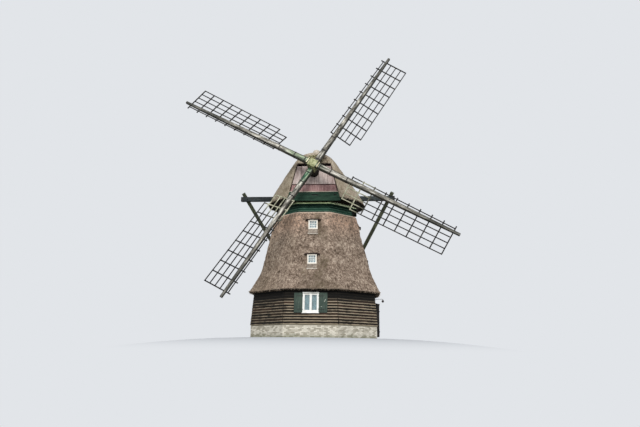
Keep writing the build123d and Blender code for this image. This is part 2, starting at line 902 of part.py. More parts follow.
def make_stock(angle, offset):
    """A stock through the poll, square at the hub and tapered to both tips."""
    radial, clockwise = sail_frame(angle)
    centre = shaft_point(offset)
    middle = beam(centre - radial * stock_straight, centre + radial * stock_straight,
                  stock_size, stock_size, up=shaft_out)
    arms = [
        beam(centre + radial * (s * stock_straight), centre + radial * (s * sail_radius),
             stock_size, stock_size, up=shaft_out, end_width=stock_tip_width, end_depth=stock_tip_width)
        for s in (-1, 1)
    ]
    return joined([middle] + arms)


def make_rotor():
    offset = (stock_size + stock_gap) / 2
    nodes = {"windshaft": shaft_cylinder(shaft_radius, poll_half_length, shaft_length)}
    radial, clockwise = sail_frame(rest_angle)
    poll = beam(shaft_point(-poll_half_length), shaft_point(poll_half_length),
                poll_size, poll_size, up=radial)
    for name, angle, shift, labels in (
        ("inner_stock", rest_angle, -offset, ("sail_lattice_a", "sail_lattice_c")),
        ("outer_stock", rest_angle + 90, offset, ("sail_lattice_b", "sail_lattice_d")),
    ):
        stock = make_stock(angle, shift)
        poll = poll - stock
        for label, turn in zip(labels, (0, 180)):
            nodes[label], cross_bars = make_lattice(angle + turn, shift)
            for bar in cross_bars:
                stock = stock - bar
        nodes[name] = stock
    nodes["poll_end"] = poll
    return nodes


def make_all():
    nodes = {}
    for part in (make_plinth, make_base_walls, make_floors, make_windows, make_thatch, make_neck,
                 make_casing, make_pins, make_lamp, make_door, make_breast, make_shaft_beams, make_rotor,
                 make_tail):
        nodes.update(part())
    nodes.update(make_cap_frame(nodes["tail_pole"]))
    carried = [nodes[name] for name in ("spreaders", "braces", "tail_pole", "winch", "sheers")]
    nodes.update(make_cap_cover(carried))
    return nodes


os.makedirs("parts", exist_ok=True)
for node_name, shape in make_all().items():
    export_step(shape, f"parts/{node_name}.step")
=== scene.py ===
import random
from math import atan, atan2, copysign, cos, degrees, exp, hypot, pi, radians, sin, sqrt, tan, tau

import bmesh
import bpy
import numpy as np
from mathutils import Matrix, Vector, noise


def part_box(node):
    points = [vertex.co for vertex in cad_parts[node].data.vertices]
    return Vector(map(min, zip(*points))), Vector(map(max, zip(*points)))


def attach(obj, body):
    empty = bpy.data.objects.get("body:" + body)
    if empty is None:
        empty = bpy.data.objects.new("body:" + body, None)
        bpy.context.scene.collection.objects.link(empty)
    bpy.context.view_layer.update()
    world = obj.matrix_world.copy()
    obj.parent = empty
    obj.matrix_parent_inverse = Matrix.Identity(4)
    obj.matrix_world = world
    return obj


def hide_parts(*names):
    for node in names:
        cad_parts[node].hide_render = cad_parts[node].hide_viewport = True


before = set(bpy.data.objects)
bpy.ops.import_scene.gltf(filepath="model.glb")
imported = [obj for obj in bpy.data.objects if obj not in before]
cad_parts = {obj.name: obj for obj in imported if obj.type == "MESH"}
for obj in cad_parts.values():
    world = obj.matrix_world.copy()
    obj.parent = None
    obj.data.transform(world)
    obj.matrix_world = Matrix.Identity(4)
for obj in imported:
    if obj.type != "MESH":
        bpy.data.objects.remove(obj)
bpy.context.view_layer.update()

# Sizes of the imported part, in metres. An apothem is measured from the tower's axis to the
# middle of a side of the octagon, and pairs are (apothem, height).
FRONT, EAST, BACK = 0, 2, 4
WINDOW_SIDES = (FRONT, EAST, BACK)
TAN = tan(radians(22.5))
PLINTH = (4.32, 0.85)
BASE_FOOT, BASE_HEAD = (4.342, 0.85), (4.157, 3.03)
KNEE, SMOCK_TOP = (3.767, 4.46), (2.92, 8.54)
SMOCK_INNER_FOOT, SMOCK_INNER_TOP = (3.85, 3.03), (2.56, 8.54)
NECK_APOTHEM = 2.60
SKIRT_EDGE_HEIGHT, SKIRT_TOP, SKIRT_REACH = 9.19, (2.49, 9.45), 2.95
SMALL_SILLS, SMALL_HALF, SMALL_HEIGHT = (4.84, 7.30), 0.32, 0.65
SMALL_FACE = 0.025
BASE_WINDOW_HALF, BASE_WINDOW_SILL, BASE_WINDOW_HEAD = 0.525, 1.57, 2.87
HALF_HEIGHT = (BASE_WINDOW_HEAD - BASE_WINDOW_SILL) / 2
SHUTTER_WIDTH = 0.56
DOOR_HALF, CASING_HALF, DOOR_HEAD = 0.50, 0.62, 2.25
CAP_FOOT, CAP_FRONT, CAP_THICKNESS = 9.6, 3.0, 0.30
OPENING_FOOT, OPENING_SLOPE, OPENING_TOP = 1.82, 0.259, 12.05
BREAST_PLANE, BREAST_STEP, BREAST_TOP = 2.89, 10.54, 11.76
HUB = Vector((0, -3.9, 11.65))
TILT = radians(15)
SHAFT_OUT = Vector((0, -cos(TILT), sin(TILT)))
ROTOR_UP = Vector((0, sin(TILT), cos(TILT)))
REST_ANGLE, STOCK_OFFSET = 29.8, 0.19
STOCK_ROOT, STOCK_TAPER, TAPER_START, TAPER_LENGTH = 0.34, 0.18, 0.7, 10.3
SPREADER_HEIGHT = 10.33
CURTAIN_DEPTH = 0.16
BACKDROP = (226, 229, 233)

# Cap plan at rising heights: height, half width, half length, forward shift and curve exponent.
CAP_LEVELS = np.array([
    (9.6, 3.57, 3.52, 0, 2.0), (10.4, 3.10, 3.35, 0.12, 2.15), (11.3, 2.40, 3.10, 0.40, 2.4),
    (11.76, 2.03, 2.95, 0.60, 2.5), (12.3, 1.62, 2.72, 0.80, 2.5), (12.87, 1.14, 2.20, 0.70, 2.4),
    (13.30, 0.58, 1.25, 0.35, 2.2), (13.56, 0.26, 0.70, 0.10, 2.0),
])


# Materials. Colours are written as sRGB of 0 to 255.

def rgb(colour):
    """The linear colour that the nodes take."""
    scaled = [c / 255 for c in colour]
    return tuple(c / 12.92 if c <= 0.04045 else ((c + 0.055) / 1.055) ** 2.4 for c in scaled) + (1.0,)


def add_node(tree, kind, inputs=None, output=0, **settings):
    """Makes a shader node with its inputs linked or set, and gives back one of its outputs."""
    made = tree.nodes.new("ShaderNode" + kind)
    for key, value in settings.items():
        setattr(made, key, value)
    for key, value in (inputs or {}).items():
        if isinstance(value, bpy.types.NodeSocket):
            tree.links.new(value, made.inputs[key])
        else:
            made.inputs[key].default_value = value
    return made.outputs[output]


class Look:
    """A procedural material in the frame's own metres."""

    def __init__(self, name, rough=0.85, specular=0.25):
        self.material = bpy.data.materials.new(name)
        self.material.use_nodes = True
        self.tree = self.material.node_tree
        self.shader = self.tree.nodes["Principled BSDF"]
        self.shader.inputs["Roughness"].default_value = rough
        self.shader.inputs["Specular IOR Level"].default_value = specular
        self.place = self.tree.nodes.new("ShaderNodeTexCoord").outputs["Object"]

    def node(self, kind, inputs=None, output=0, **settings):
        return add_node(self.tree, kind, inputs, output, **settings)

    def noise(self, size, stretch=(1, 1, 1), turn=0.0, detail=3.0, rough=0.55):
        """Noise of a feature size, turned about Y so that Z runs along a beam."""
        turned = self.node("Mapping", {"Vector": self.place, "Rotation": (0, -radians(turn), 0)})
        scale = tuple(1 / (size * s) for s in stretch)
        spot = self.node("Mapping", {"Vector": turned, "Scale": scale})
        return self.node("TexNoise", {"Vector": spot, "Scale": 1.0, "Detail": detail, "Roughness": rough})

    def tone(self, name="tone"):
        return self.node("Attribute", output=2, attribute_name=name)

    def math(self, operation, a, b=0.0, c=0.0):
        return self.node("Math", {0: a, 1: b, 2: c}, operation=operation)

    def times(self, product, *others):
        for other in others:
            product = self.math("MULTIPLY", product, other)
        return product

    def scaled(self, value, factor, plus):
        return self.math("MULTIPLY_ADD", value, factor, plus)

    def blended(self, *parts):
        """A sum of sources, each with its share."""
        total, *others = (self.times(source, share) for source, share in parts)
        for part in others:
            total = self.math("ADD", total, part)
        return total

    def band(self, value, low, high):
        """0 below low, 1 above high and smooth between. High may be the lower one."""
        return self.node("MapRange", {0: value, 1: low, 2: high, 3: 0.0, 4: 1.0},
                         interpolation_type="SMOOTHSTEP")

    def axis(self, index, source=None):
        return self.node("SeparateXYZ", {0: source or self.place}, output=index)

    def underside(self, low, high):
        """1 where a face looks down."""
        return self.band(self.axis(2, self.node("NewGeometry", output="Normal")), low, high)

    def from_hub(self):
        return self.node("VectorMath", {0: self.place, 1: tuple(HUB)}, output=1, operation="DISTANCE")

    def ramp(self, value, *stops):
        made = self.tree.nodes.new("ShaderNodeValToRGB")
        self.tree.links.new(value, made.inputs[0])
        elements = made.color_ramp.elements
        while len(elements) < len(stops):
            elements.new(0.5)
        for element, (position, colour) in zip(elements, stops):
            element.position = position
            element.color = rgb(colour)
        return made.outputs[0]

    def cover(self, below, above, *shares):
        """Lays one colour over another by the product of the shares."""
        below, above = (rgb(c) if isinstance(c, tuple) else c for c in (below, above))
        return self.node("Mix", {0: self.times(*shares), 6: below, 7: above}, output=2, data_type="RGBA")

    def paint(self, colour, height=None, depth=0.01):
        self.tree.links.new(colour, self.shader.inputs["Base Color"])
        if height is not None:
            bump = self.node("Bump", {"Height": height, "Distance": depth, "Strength": 1.0})
            self.tree.links.new(bump, self.shader.inputs["Normal"])
        return self


def wood_look(name, dark, mid, light, along=2, rough=0.85, marks=None, size=1.0):
    """Weathered timber with its grain along one axis."""
    look = Look(name, rough)
    grain, streak = (look.noise(width * size, [long if axis == along else 1 for axis in range(3)], detail=detail)
                     for width, long, detail in ((0.018, 14, 4), (0.09, 6, 3)))
    value = look.blended((grain, 0.38), (streak, 0.34), (look.noise(0.7 * size, detail=2), 0.28))
    colour = look.ramp(value, (0.36, dark), (0.5, mid), (0.64, light))
    if marks is not None:
        chips = look.band(look.noise(0.11 * size, detail=5, rough=0.7), 0.60, 0.68)
        colour = look.cover(colour, marks, chips)
    return look.paint(colour, value, 0.006)


def thatch_look(name, dark, mid, light, moss, warm, olive, rim=None, crown=None):
    """Weathered reed: fine flecks down the slope, moss patches, paler new reed above, painted highlight on any rim
    and painted shade on faces that look down.
    """
    look = Look(name, rough=0.95, specular=0.08)
    reed = look.noise(0.022, (1, 1, 5), detail=4, rough=0.65)
    clump = look.noise(0.075, (1, 1, 1.25), detail=4, rough=0.7)
    spots = look.noise(0.17, (1, 1, 1.15), detail=3, rough=0.6)
    value = look.blended((reed, 0.20), (clump, 0.40), (spots, 0.28), (look.tone(), 0.12))
    colour = look.ramp(value, (0.40, dark), (0.50, mid), (0.61, light))
    across, height = look.axis(0), look.axis(2)
    ragged = look.blended((height, 1), (spots, 1.4))
    off_middle = look.math("ABSOLUTE", look.blended((across, 1), (clump, 0.9), (-0.75, 1)))
    beside = look.scaled(look.band(off_middle, 0.35, 1.15), 0.65, 0.35)
    newer = look.ramp(value, (0.36, dark), (0.47, mid), (0.58, warm))
    colour = look.cover(colour, newer, look.band(ragged, 7.2, 8.9), beside, 0.85)
    west = look.band(look.blended((across, 1), (clump, 0.8)), -0.6, -3.6)
    colour = look.cover(colour, look.ramp(value, (0.36, dark), (0.56, olive)), west, 0.35)
    column = look.band(look.math("ABSOLUTE", look.math("ADD", across, -0.45)), 1.7, 0.5)
    patch = look.band(look.noise(1.2, (1, 1, 2.2), detail=3, rough=0.6), 0.47, 0.62)
    colour = look.cover(colour, moss, patch, look.scaled(column, 0.6, 0.4), look.band(clump, 0.46, 0.56), 0.75)
    damp = look.ramp(value, (0.44, dark), (0.62, moss))
    colour = look.cover(colour, damp, look.band(ragged, 5.6, 4.2), column, 0.35)
    # Painted highlight on the eave's rounded rim, and a paler band just under the top trim.
    if rim is not None:
        edge = look.math("MAXIMUM", look.band(height, 8.46, 8.52), look.times(look.band(height, 3.16, 3.10), 0.6))
        colour = look.cover(colour, rim, edge, 0.8)
    if crown is not None:
        top = look.band(look.blended((height, 1), (spots, 0.8)), 12.7, 13.9)
        colour = look.cover(colour, look.ramp(value, (0.38, mid), (0.56, crown)), top, 0.7)
    # Painted shade: faces that look down, as under the eaves, are darkened to near black.
    colour = look.cover(colour, (18, 14, 11), look.underside(-0.35, -0.65), 0.96)
    return look.paint(colour, look.blended((reed, 0.35), (clump, 0.65)), 0.03)


def board_look(name, dark, mid, weathered, warm, lip, shade=None):
    """Lapped boards: dark paint, pale along each lower edge as grey weathering and painted light, darker where an
    eave shades them.
    """
    look = Look(name, rough=0.88)
    grain = look.noise(1, (1 / 2.2, 1 / 2.2, 1 / 70), detail=4, rough=0.6)
    blotch = look.noise(0.45, detail=4)
    value = look.blended((grain, 0.45), (blotch, 0.3), (look.tone(), 0.25))
    colour = look.ramp(value, (0.34, dark), (0.52, mid), (0.70, warm))
    left = look.band(look.axis(0), -1.4, -2.1)
    # Pale band along each lower edge: partly grey weathering, partly painted light against the shade under the board
    # above; narrower on the west side.
    lower = look.blended((look.tone("down"), 1), (grain, 0.5), (blotch, 0.3), (left, -0.10))
    pale = look.ramp(value, (0.30, mid), (0.42, weathered), (0.75, weathered))
    colour = look.cover(colour, pale, look.band(lower, lip + 0.26, lip + 0.48), 0.95)
    if shade is not None:
        colour = look.cover(colour, dark, look.band(look.blended((look.axis(2), 1), (blotch, 0.3)), *shade), 0.96)
    return look.paint(colour, value, 0.006)


def ledge_look(name, *colours):
    """Mossy weathered slats, with painted light on the east side and painted shade in dark green underneath."""
    look = wood_look(name, *colours, along=0)
    wood = look.shader.inputs["Base Color"].links[0].from_socket
    # Painted light: the east side is made near white, as if lit under the cap.
    east = look.cover(wood, (240, 252, 204), look.band(look.axis(0), 1.15, 1.6))
    # Painted shade: faces that look down are painted dark green.
    return look.paint(look.cover(east, (16, 28, 20), look.underside(0.05, -0.2)))


def stock_look(name, turn, green_reach, green, sides):
    """Grey weathered stock with old green paint near the hub, streaked along the grain, and dark long edges that are
    partly trim and partly painted shade.
    """
    look = Look(name, rough=0.8)
    grain = look.noise(0.03, (1, 1, 30), turn, detail=4, rough=0.65)
    streak = look.noise(0.12, (1, 1, 16), turn, detail=3)
    blotch = look.noise(0.5, (1, 1, 2.4), turn, detail=4)
    value = look.blended((grain, 0.2), (streak, 0.6), (blotch, 0.2))
    colour = look.ramp(value, (0.39, (42, 41, 37)), (0.47, (108, 105, 97)), (0.535, (156, 152, 142)),
                       (0.61, (222, 218, 206)))
    away = look.blended((look.from_hub(), 1), (blotch, 1.2))
    painted = look.ramp(value, (0.38, (26, 46, 36)), (0.5, green), (0.62, (178, 190, 160)))
    colour = look.cover(colour, painted, look.band(away, green_reach + 0.9, green_reach + 0.1),
                        look.band(look.axis(0), *sides))
    # Dark bands along both long edges: partly dark trim, partly painted shade.
    offset = look.node("VectorMath", {0: look.place, 1: tuple(HUB)}, operation="SUBTRACT")
    width = look.node("VectorMath", {0: offset, 1: tuple(sail_axes(turn)[1])}, output=1,
                      operation="DOT_PRODUCT")
    half = look.scaled(away, -0.0087, 0.176)
    rim = look.band(look.math("DIVIDE", look.math("ABSOLUTE", width), half), 0.62, 0.88)
    colour = look.cover(colour, (44, 43, 37), rim, 0.7)
    colour = look.cover(colour, (48, 50, 46), look.band(away, 5.0, 10.4), 0.72)
    return look.paint(colour, value, 0.007)


def lattice_look():
    """Lattice bars painted dark as painted shade against the sky, and pale as painted light where the lower arms pass
    in front of the cap.
    """
    look = Look("lattice_bars", rough=0.85)
    value = look.blended((look.noise(0.02, detail=4), 0.5), (look.noise(0.3, detail=3), 0.5))
    # Painted shade: near black, as the bars look against the bright sky.
    colour = look.ramp(value, (0.38, (14, 14, 16)), (0.5, (28, 28, 29)), (0.62, (70, 68, 62)))
    # Painted light: a pale copy of the bars where the lower arms pass in front of the cap's shaded underside.
    painted_lit_pale = look.ramp(value, (0.36, (84, 84, 66)), (0.5, (156, 156, 134)), (0.62, (206, 202, 180)))
    near = look.band(look.from_hub(), 5.0, 4.1)
    below, east = look.band(look.axis(2), 10.35, 10.05), look.band(look.axis(0), -3.35, -2.95)
    return look.paint(look.cover(colour, painted_lit_pale, near, below, east), value, 0.004)


def small_frame_look():
    """White paint, and bare weathered timber on the aprons under the sills."""
    look = Look("white_and_bare_frame", 0.6)
    value = look.blended((look.noise(0.03, (1, 1, 6), detail=4), 0.5), (look.noise(0.2, detail=4), 0.5))
    colour = look.ramp(value, (0.38, (222, 214, 200)), (0.56, (246, 240, 228)))
    bare = look.ramp(value, (0.36, (104, 94, 84)), (0.62, (164, 152, 138)))
    height = look.axis(2)
    aprons = [look.times(look.math("GREATER_THAN", height, sill - 0.34),
                         look.math("LESS_THAN", height, sill - 0.001)) for sill in SMALL_SILLS]
    return look.paint(look.cover(colour, bare, look.math("MAXIMUM", *aprons)), value, 0.003)


def roll_look():
    """Lichened old reed with rings of cut ends, dark in the hollows as painted shade and pale on the raised rings,
    partly as painted light.
    """
    look = Look("lichened_reed", rough=0.95, specular=0.08)
    lumps = look.noise(0.10, detail=4, rough=0.65)
    value = look.blended((lumps, 0.42), (look.noise(0.03, detail=3), 0.15), (look.tone(), 0.43))
    return look.paint(look.ramp(value, (0.34, (34, 30, 20)), (0.46, (100, 94, 64)), (0.58, (178, 170, 128)),
                                (0.70, (222, 216, 184))), value, 0.04)


def plain_look(name, dark, light, size=0.2, rough=0.6, depth=0.002, specular=0.3):
    look = Look(name, rough, specular)
    value = look.blended((look.noise(size, detail=4), 0.7), (look.noise(size / 9, detail=2), 0.3))
    return look.paint(look.ramp(value, (0.36, dark), (0.64, light)), value, depth)


def glass_look():
    """Old window glass: clear, slightly uneven, with soft reflections of the sky."""
    look = Look("window_pane", rough=0.06, specular=0.75)
    for label, value in (("Transmission Weight", 0.75), ("IOR", 1.5), ("Alpha", 0.55)):
        look.shader.inputs[label].default_value = value
    wave = look.noise(0.35, detail=1)
    return look.paint(look.ramp(wave, (0.3, (178, 204, 212)), (0.7, (206, 222, 228))), wave, 0.004)


def masonry_look():
    """Limewash over brick, stained by damp near the ground."""
    look = Look("limewash", rough=0.92, specular=0.12)
    stain = look.noise(0.5, (1, 1, 1.8), detail=5, rough=0.6)
    value = look.blended((look.noise(0.02, detail=3), 0.25), (stain, 0.3), (look.tone(), 0.45))
    colour = look.ramp(value, (0.34, (164, 158, 143)), (0.48, (198, 192, 178)), (0.62, (222, 217, 204)))
    damp = look.band(look.blended((look.axis(2), 1), (stain, 0.5)), 0.55, 0.25)
    return look.paint(look.cover(colour, (104, 108, 82), damp, 0.6), value, 0.004)


def sail_axes(angle):
    """The ways along a stock at an angle from upright, and across it."""
    t = radians(angle)
    right = Vector((1, 0, 0))
    return right * sin(t) + ROTOR_UP * cos(t), right * cos(t) - ROTOR_UP * sin(t)


# Timber finishes: name, dark, middle and light colours, axis of the grain and other settings.
WOODS = {
    "beam": ("dark_beam", (24, 28, 29), (44, 50, 52), (74, 80, 80), 0, {"marks": (98, 102, 98)}),
    "brace": ("olive_beam", (36, 40, 31), (68, 73, 58), (104, 109, 88), 2, {"marks": (108, 110, 90)}),
    # Framing under the cap, darkened to near black as painted shade.
    "frame": ("timber_in_painted_shade", (20, 16, 12), (36, 29, 22), (60, 50, 40), 0, {}),
    "floor": ("floor_boards", (90, 70, 50), (134, 108, 80), (168, 142, 112), 0, {}),
    "iron": ("black_iron", (16, 16, 17), (34, 33, 33), (66, 56, 48), 2, {"rough": 0.55, "size": 0.6}),
    "wall_core": ("wall_lining", (14, 12, 11), (24, 20, 18), (40, 34, 30), 2, {}),
    "fascia": ("green_boards", (20, 38, 30), (34, 60, 47), (56, 84, 66), 0, {}),
    "shutter": ("shutter_paint", (40, 54, 47), (58, 73, 65), (80, 94, 84), 2, {"rough": 0.7}),
    "breast": ("faded_red_upper", (138, 116, 111), (187, 170, 165), (222, 210, 203), 2,
               {"marks": (204, 188, 178), "size": 1.6}),
    "breast_low": ("faded_red_lower", (112, 78, 79), (154, 120, 118), (186, 156, 152), 2,
                   {"marks": (168, 140, 138)}),
    "trim": ("pale_trim", (140, 128, 116), (182, 170, 156), (214, 204, 190), 0, {}),
    "poll": ("mossy_poll", (36, 40, 24), (148, 151, 110), (224, 222, 184), 1,
             {"rough": 0.9, "marks": (66, 84, 52), "size": 1.5}),
    "shaft": ("tarred_shaft", (20, 20, 18), (40, 38, 33), (70, 64, 54), 1, {}),
    "wedge": ("pale_wedge", (150, 140, 110), (204, 194, 160), (232, 226, 200), 2, {}),
    # Dark boards over the small windows; the same look makes the breast's painted shade strips.
    "brow": ("dark_board_and_shade_strip", (22, 15, 14), (44, 30, 27), (74, 56, 50), 0, {}),
    "door": ("door_paint", (20, 36, 30), (34, 56, 47), (60, 82, 70), 2, {"rough": 0.65}),
    "door_frame": ("door_frame_paint", (18, 16, 17), (36, 34, 34), (64, 62, 58), 2, {}),
}

# Plain finishes: name, dark and light colours, feature size, roughness, depth and specular.
PLAINS = {
    "shutter_pale_marks": ("pale_patch", (150, 156, 146), (210, 212, 200), 0.05),
    "white": ("white_paint", (222, 222, 216), (246, 247, 244), 0.2, 0.45),
    "globe": ("dark_globe", (30, 22, 22), (58, 42, 40), 0.2, 0.2, 0.0005),
    # Near black, put behind openings as painted shade.
    "gap": ("painted_shade_block", (8, 9, 9), (18, 19, 18)),
    "curtain": ("net_curtain", (206, 214, 216), (236, 240, 240), 0.02, 0.9, 0.001, 0.1),
    "tinted_curtain": ("pale_curtain", (134, 158, 158), (178, 198, 198), 0.03, 0.9, 0.001),
}

LOOKS = {key: wood_look(*row, **options) for key, (*row, options) in WOODS.items()}
LOOKS.update((key, plain_look(*row)) for key, row in PLAINS.items())
LOOKS.update({
    "thatch": thatch_look("reed_thatch", (74, 62, 52), (137, 120, 106), (200, 184, 167), (86, 78, 57),
                          (214, 178, 154), (164, 148, 126), rim=(206, 186, 168)),
    "cap": thatch_look("cap_reed", (64, 56, 46), (152, 139, 120), (228, 216, 196), (100, 96, 70),
                       (172, 160, 144), (144, 134, 110), crown=(204, 195, 182)),
    "boards": board_look("lapped_boards", (11, 10, 8), (33, 27, 20), (164, 150, 128), (64, 47, 37),
                         0.80, shade=(2.38, 2.78)),
    "neck": board_look("green_lapped_boards", (8, 34, 27), (26, 60, 48), (80, 116, 98), (38, 74, 60), 0.86),
    "drip": ledge_look("mossy_ledge", (92, 108, 72), (152, 168, 122), (208, 212, 176)),
    "inner_stock": stock_look("grey_green_stock", REST_ANGLE, 1.5, (62, 104, 80), (0.10, -0.25)),
    "outer_stock": stock_look("pale_green_stock", REST_ANGLE + 90, 2.2, (122, 134, 112), (1.2, -0.1)),
    "lattice": lattice_look(), "small_frame": small_frame_look(), "roll": roll_look(),
    "glass": glass_look(), "masonry": masonry_look(),
})


# Meshes.

def link_object(name, data):
    made = bpy.data.objects.new(name, data)
    bpy.context.scene.collection.objects.link(made)
    return made


def add_object(name, points, faces, look, smooth):
    mesh = bpy.data.meshes.new(name)
    mesh.from_pydata([tuple(p) for p in points], [], faces)
    mesh.polygons.foreach_set("use_smooth", [smooth] * len(mesh.polygons))
    mesh.materials.append(look.material)
    return link_object(name, mesh)


def finish_mesh(name, points, faces, body, look, slot, replaces=(), tones=(), downs=None,
                smooth=False, bevel=0.0):
    """Makes a piece of closed solids, with its normals outwards, riding on a body."""
    used = sorted({i for face in faces for i in face})
    place = {old: new for new, old in enumerate(used)}
    points = np.asarray(points, float)[used].tolist()
    piece = add_object(name, points, [[place[i] for i in face] for face in faces], LOOKS[look], smooth)
    mesh = piece.data
    for label, values in (("tone", tones), ("down", downs)):
        if values:
            attribute = mesh.attributes.new(label, "FLOAT", "POINT")
            attribute.data.foreach_set("value", np.asarray(values, np.float32)[used])
    edit = bmesh.new()
    edit.from_mesh(mesh)
    bmesh.ops.recalc_face_normals(edit, faces=edit.faces)
    edit.to_mesh(mesh)
    edit.free()
    if bevel:
        add_bevel(piece, bevel)
    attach(piece, body)
    if replaces:
        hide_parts(*replaces)
    return piece


def add_bevel(piece, width):
    bevel = piece.modifiers.new("edges", "BEVEL")
    bevel.width = width
    bevel.segments = 2
    bevel.limit_method = "ANGLE"
    bevel.angle_limit = radians(40)


def ring_faces(rings, count, start=0):
    """Quads between neighbouring rings of equal numbers of points."""
    return [(a + i, a + n, a + count + n, a + count + i)
            for a in (start + j * count for j in range(rings))
            for i, n in ((i, (i + 1) % count) for i in range(count))]


def capped_rings(rings, count, start=0):
    """The quads between rings, closed by a face over the first ring and one over the last."""
    last = start + rings * count
    return ring_faces(rings, count, start) + [
        tuple(reversed(range(start, start + count))), tuple(range(last, last + count))]


def circle(radius, steps):
    """Points round a circle, as pairs."""
    return [(radius * cos(tau * k / steps), radius * sin(tau * k / steps))
            for k in range(steps)]


class Solids:
    """Closed solids gathered into one mesh, each with its own tone from 0 to 1."""

    def __init__(self, seed):
        self.random = random.Random(seed)
        self.points, self.faces, self.tones, self.downs = [], [], [], []

    def tube(self, sections, down=None):
        """A closed solid through sections of equal numbers of points."""
        count, tone = len(sections[0]), self.random.random()
        self.faces += capped_rings(len(sections) - 1, count, len(self.points))
        for section in sections:
            self.points.extend(section)
            self.tones.extend([tone] * count)
            self.downs.extend(down or [0.5] * count)

    def beam(self, start, end, width, depth, up=(0, 0, 1), end_size=None):
        start, end = Vector(start), Vector(end)
        along = (end - start).normalized()
        across = along.cross(Vector(up)).normalized()
        upward = across.cross(along)
        self.tube([[point + across * (sx * w / 2) + upward * (sy * d / 2)
                    for sx, sy in ((-1, -1), (1, -1), (1, 1), (-1, 1))]
                   for point, (w, d) in ((start, (width, depth)), (end, end_size or (width, depth)))])

    def rod(self, start, end, radius, count=12, end_radius=None):
        start, end = Vector(start), Vector(end)
        along = (end - start).normalized()
        side = along.orthogonal().normalized()
        other = along.cross(side)
        self.tube([[point + (side * c + other * s) * r for c, s in circle(1, count)]
                   for point, r in ((start, radius), (end, end_radius or radius))])

    def block(self, side, us, apothems, zs):
        """A block on a side of the octagon, between pairs of places across, outwards and up."""
        self.tube([[side_point(side, u, a, z) for a, z in (
            (apothems[0], zs[0]), (apothems[1], zs[0]), (apothems[1], zs[1]), (apothems[0], zs[1]))]
            for u in us])

    def ball(self, centre, radius):
        rings, steps = 14, 28
        polars = (pi * j / rings for j in range(1, rings))
        self.tube([[centre + Vector((x, y, -radius * cos(polar)))
                    for x, y in circle(radius * sin(polar), steps)] for polar in polars])

    def make(self, name, body, look, slot, replaces=(), bevel=0.0, smooth=False):
        return finish_mesh(name, self.points, self.faces, body, look, slot, replaces,
                           self.tones, self.downs, smooth, bevel)


def strips(low, high, count):
    """Neighbouring stretches of equal width, as pairs of ends."""
    edges = [low + (high - low) * k / count for k in range(count + 1)]
    return list(zip(edges, edges[1:]))


def side_point(side, u, apothem, z):
    """A point on a side of the octagon: u to the right seen from outside, from the side's middle."""
    c, s = cos(radians(45 * side)), sin(radians(45 * side))
    return Vector((u * c + apothem * s, u * s - apothem * c, z))


def between(z, low, high):
    """Apothem at a height on the line between two (apothem, height) pairs."""
    return low[0] + (high[0] - low[0]) * (z - low[1]) / (high[1] - low[1])


def base_apothem(z):
    return between(z, BASE_FOOT, BASE_HEAD)


def smock_apothem(z):
    return between(z, KNEE, SMOCK_TOP)


def turbulence(p, size, stretch=1.0):
    return noise.noise(Vector((p[0] / size, p[1] / size, p[2] / (size * stretch))))


def lumps(point, *layers):
    """Turbulence in three layers, each with its depth, size and stretch."""
    return sum(depth * turbulence(point + Vector(offset), size, stretch) for offset, (depth, size, stretch)
               in zip(((0, 0, 0), (9, 0, 0), (0, 7, 0)), layers))


def closed_shell(outer, inner, faces):
    """Joins two copies of an open surface along all its edges, into one closed skin."""
    count = len(outer)
    directed = {(a, b) for face in faces for a, b in zip(face, face[1:] + face[:1])}
    made = list(faces) + [tuple(i + count for i in reversed(face)) for face in faces]
    made += [(b, a, a + count, b + count) for a, b in directed if (b, a) not in directed]
    return np.vstack([outer, inner]), made


def reed_tufts(name, grid, faces, number, seed, body, look, slot, length=0.11, width=0.02, lift=0.022):
    """Loose reed ends over a thatched surface, each a closed sliver pointing down the slope."""
    rng = np.random.default_rng(seed)
    corners = grid[np.array(faces)]
    normal = np.cross(corners[:, 2] - corners[:, 0], corners[:, 3] - corners[:, 1])
    area = np.linalg.norm(normal, axis=1) / 2
    chosen = rng.choice(len(faces), number, p=area / area.sum())
    s, t = rng.random((2, number, 1))
    c = corners[chosen]
    at = c[:, 0] * (1 - s) * (1 - t) + c[:, 1] * s * (1 - t) + c[:, 2] * s * t + c[:, 3] * (1 - s) * t
    n = normal[chosen] / (2 * area[chosen, None])
    down = np.array([0, 0, -1.0]) - n * (-n[:, 2:3])
    down /= np.maximum(np.linalg.norm(down, axis=1, keepdims=True), 1e-6)
    across = np.cross(n, down)
    down = down + across * rng.normal(0, 0.22, (number, 1))
    long, wide = (size * rng.uniform(0.6, 1.5, (number, 1)) for size in (length, width))
    high = lift * rng.uniform(0.5, 1.4, (number, 1))
    points = np.stack([
        at + across * wide / 2 - n * 0.008, at - across * wide / 2 - n * 0.008,
        at + n * high * 0.6 - down * wide, at + down * long + n * high,
    ], axis=1).reshape(-1, 3)
    base = np.arange(number)[:, None] * 4
    tufts = np.concatenate([base + np.array(f) for f in ((0, 2, 1), (0, 1, 3), (1, 2, 3), (2, 0, 3))])
    finish_mesh(name, points, tufts.tolist(), body, look, slot, tones=np.repeat(rng.random(number), 4).tolist())


def lay_reed(name, outer, inner, faces, count, kind, replaces, tones, *tufts):
    """A closed skin of thatch, with loose reed ends over some of its rows of faces."""
    grid = np.array(outer)
    points, shell = closed_shell(grid, np.array(inner), faces)
    finish_mesh(name, points, shell, *kind, replaces, tones + tones, smooth=True)
    for label, first, last, number, seed, *size in tufts:
        chosen = [f for f in faces if first <= f[0] // count <= last]
        reed_tufts(label, grid, chosen, number, seed, *kind, *size)


# Thatched smock.

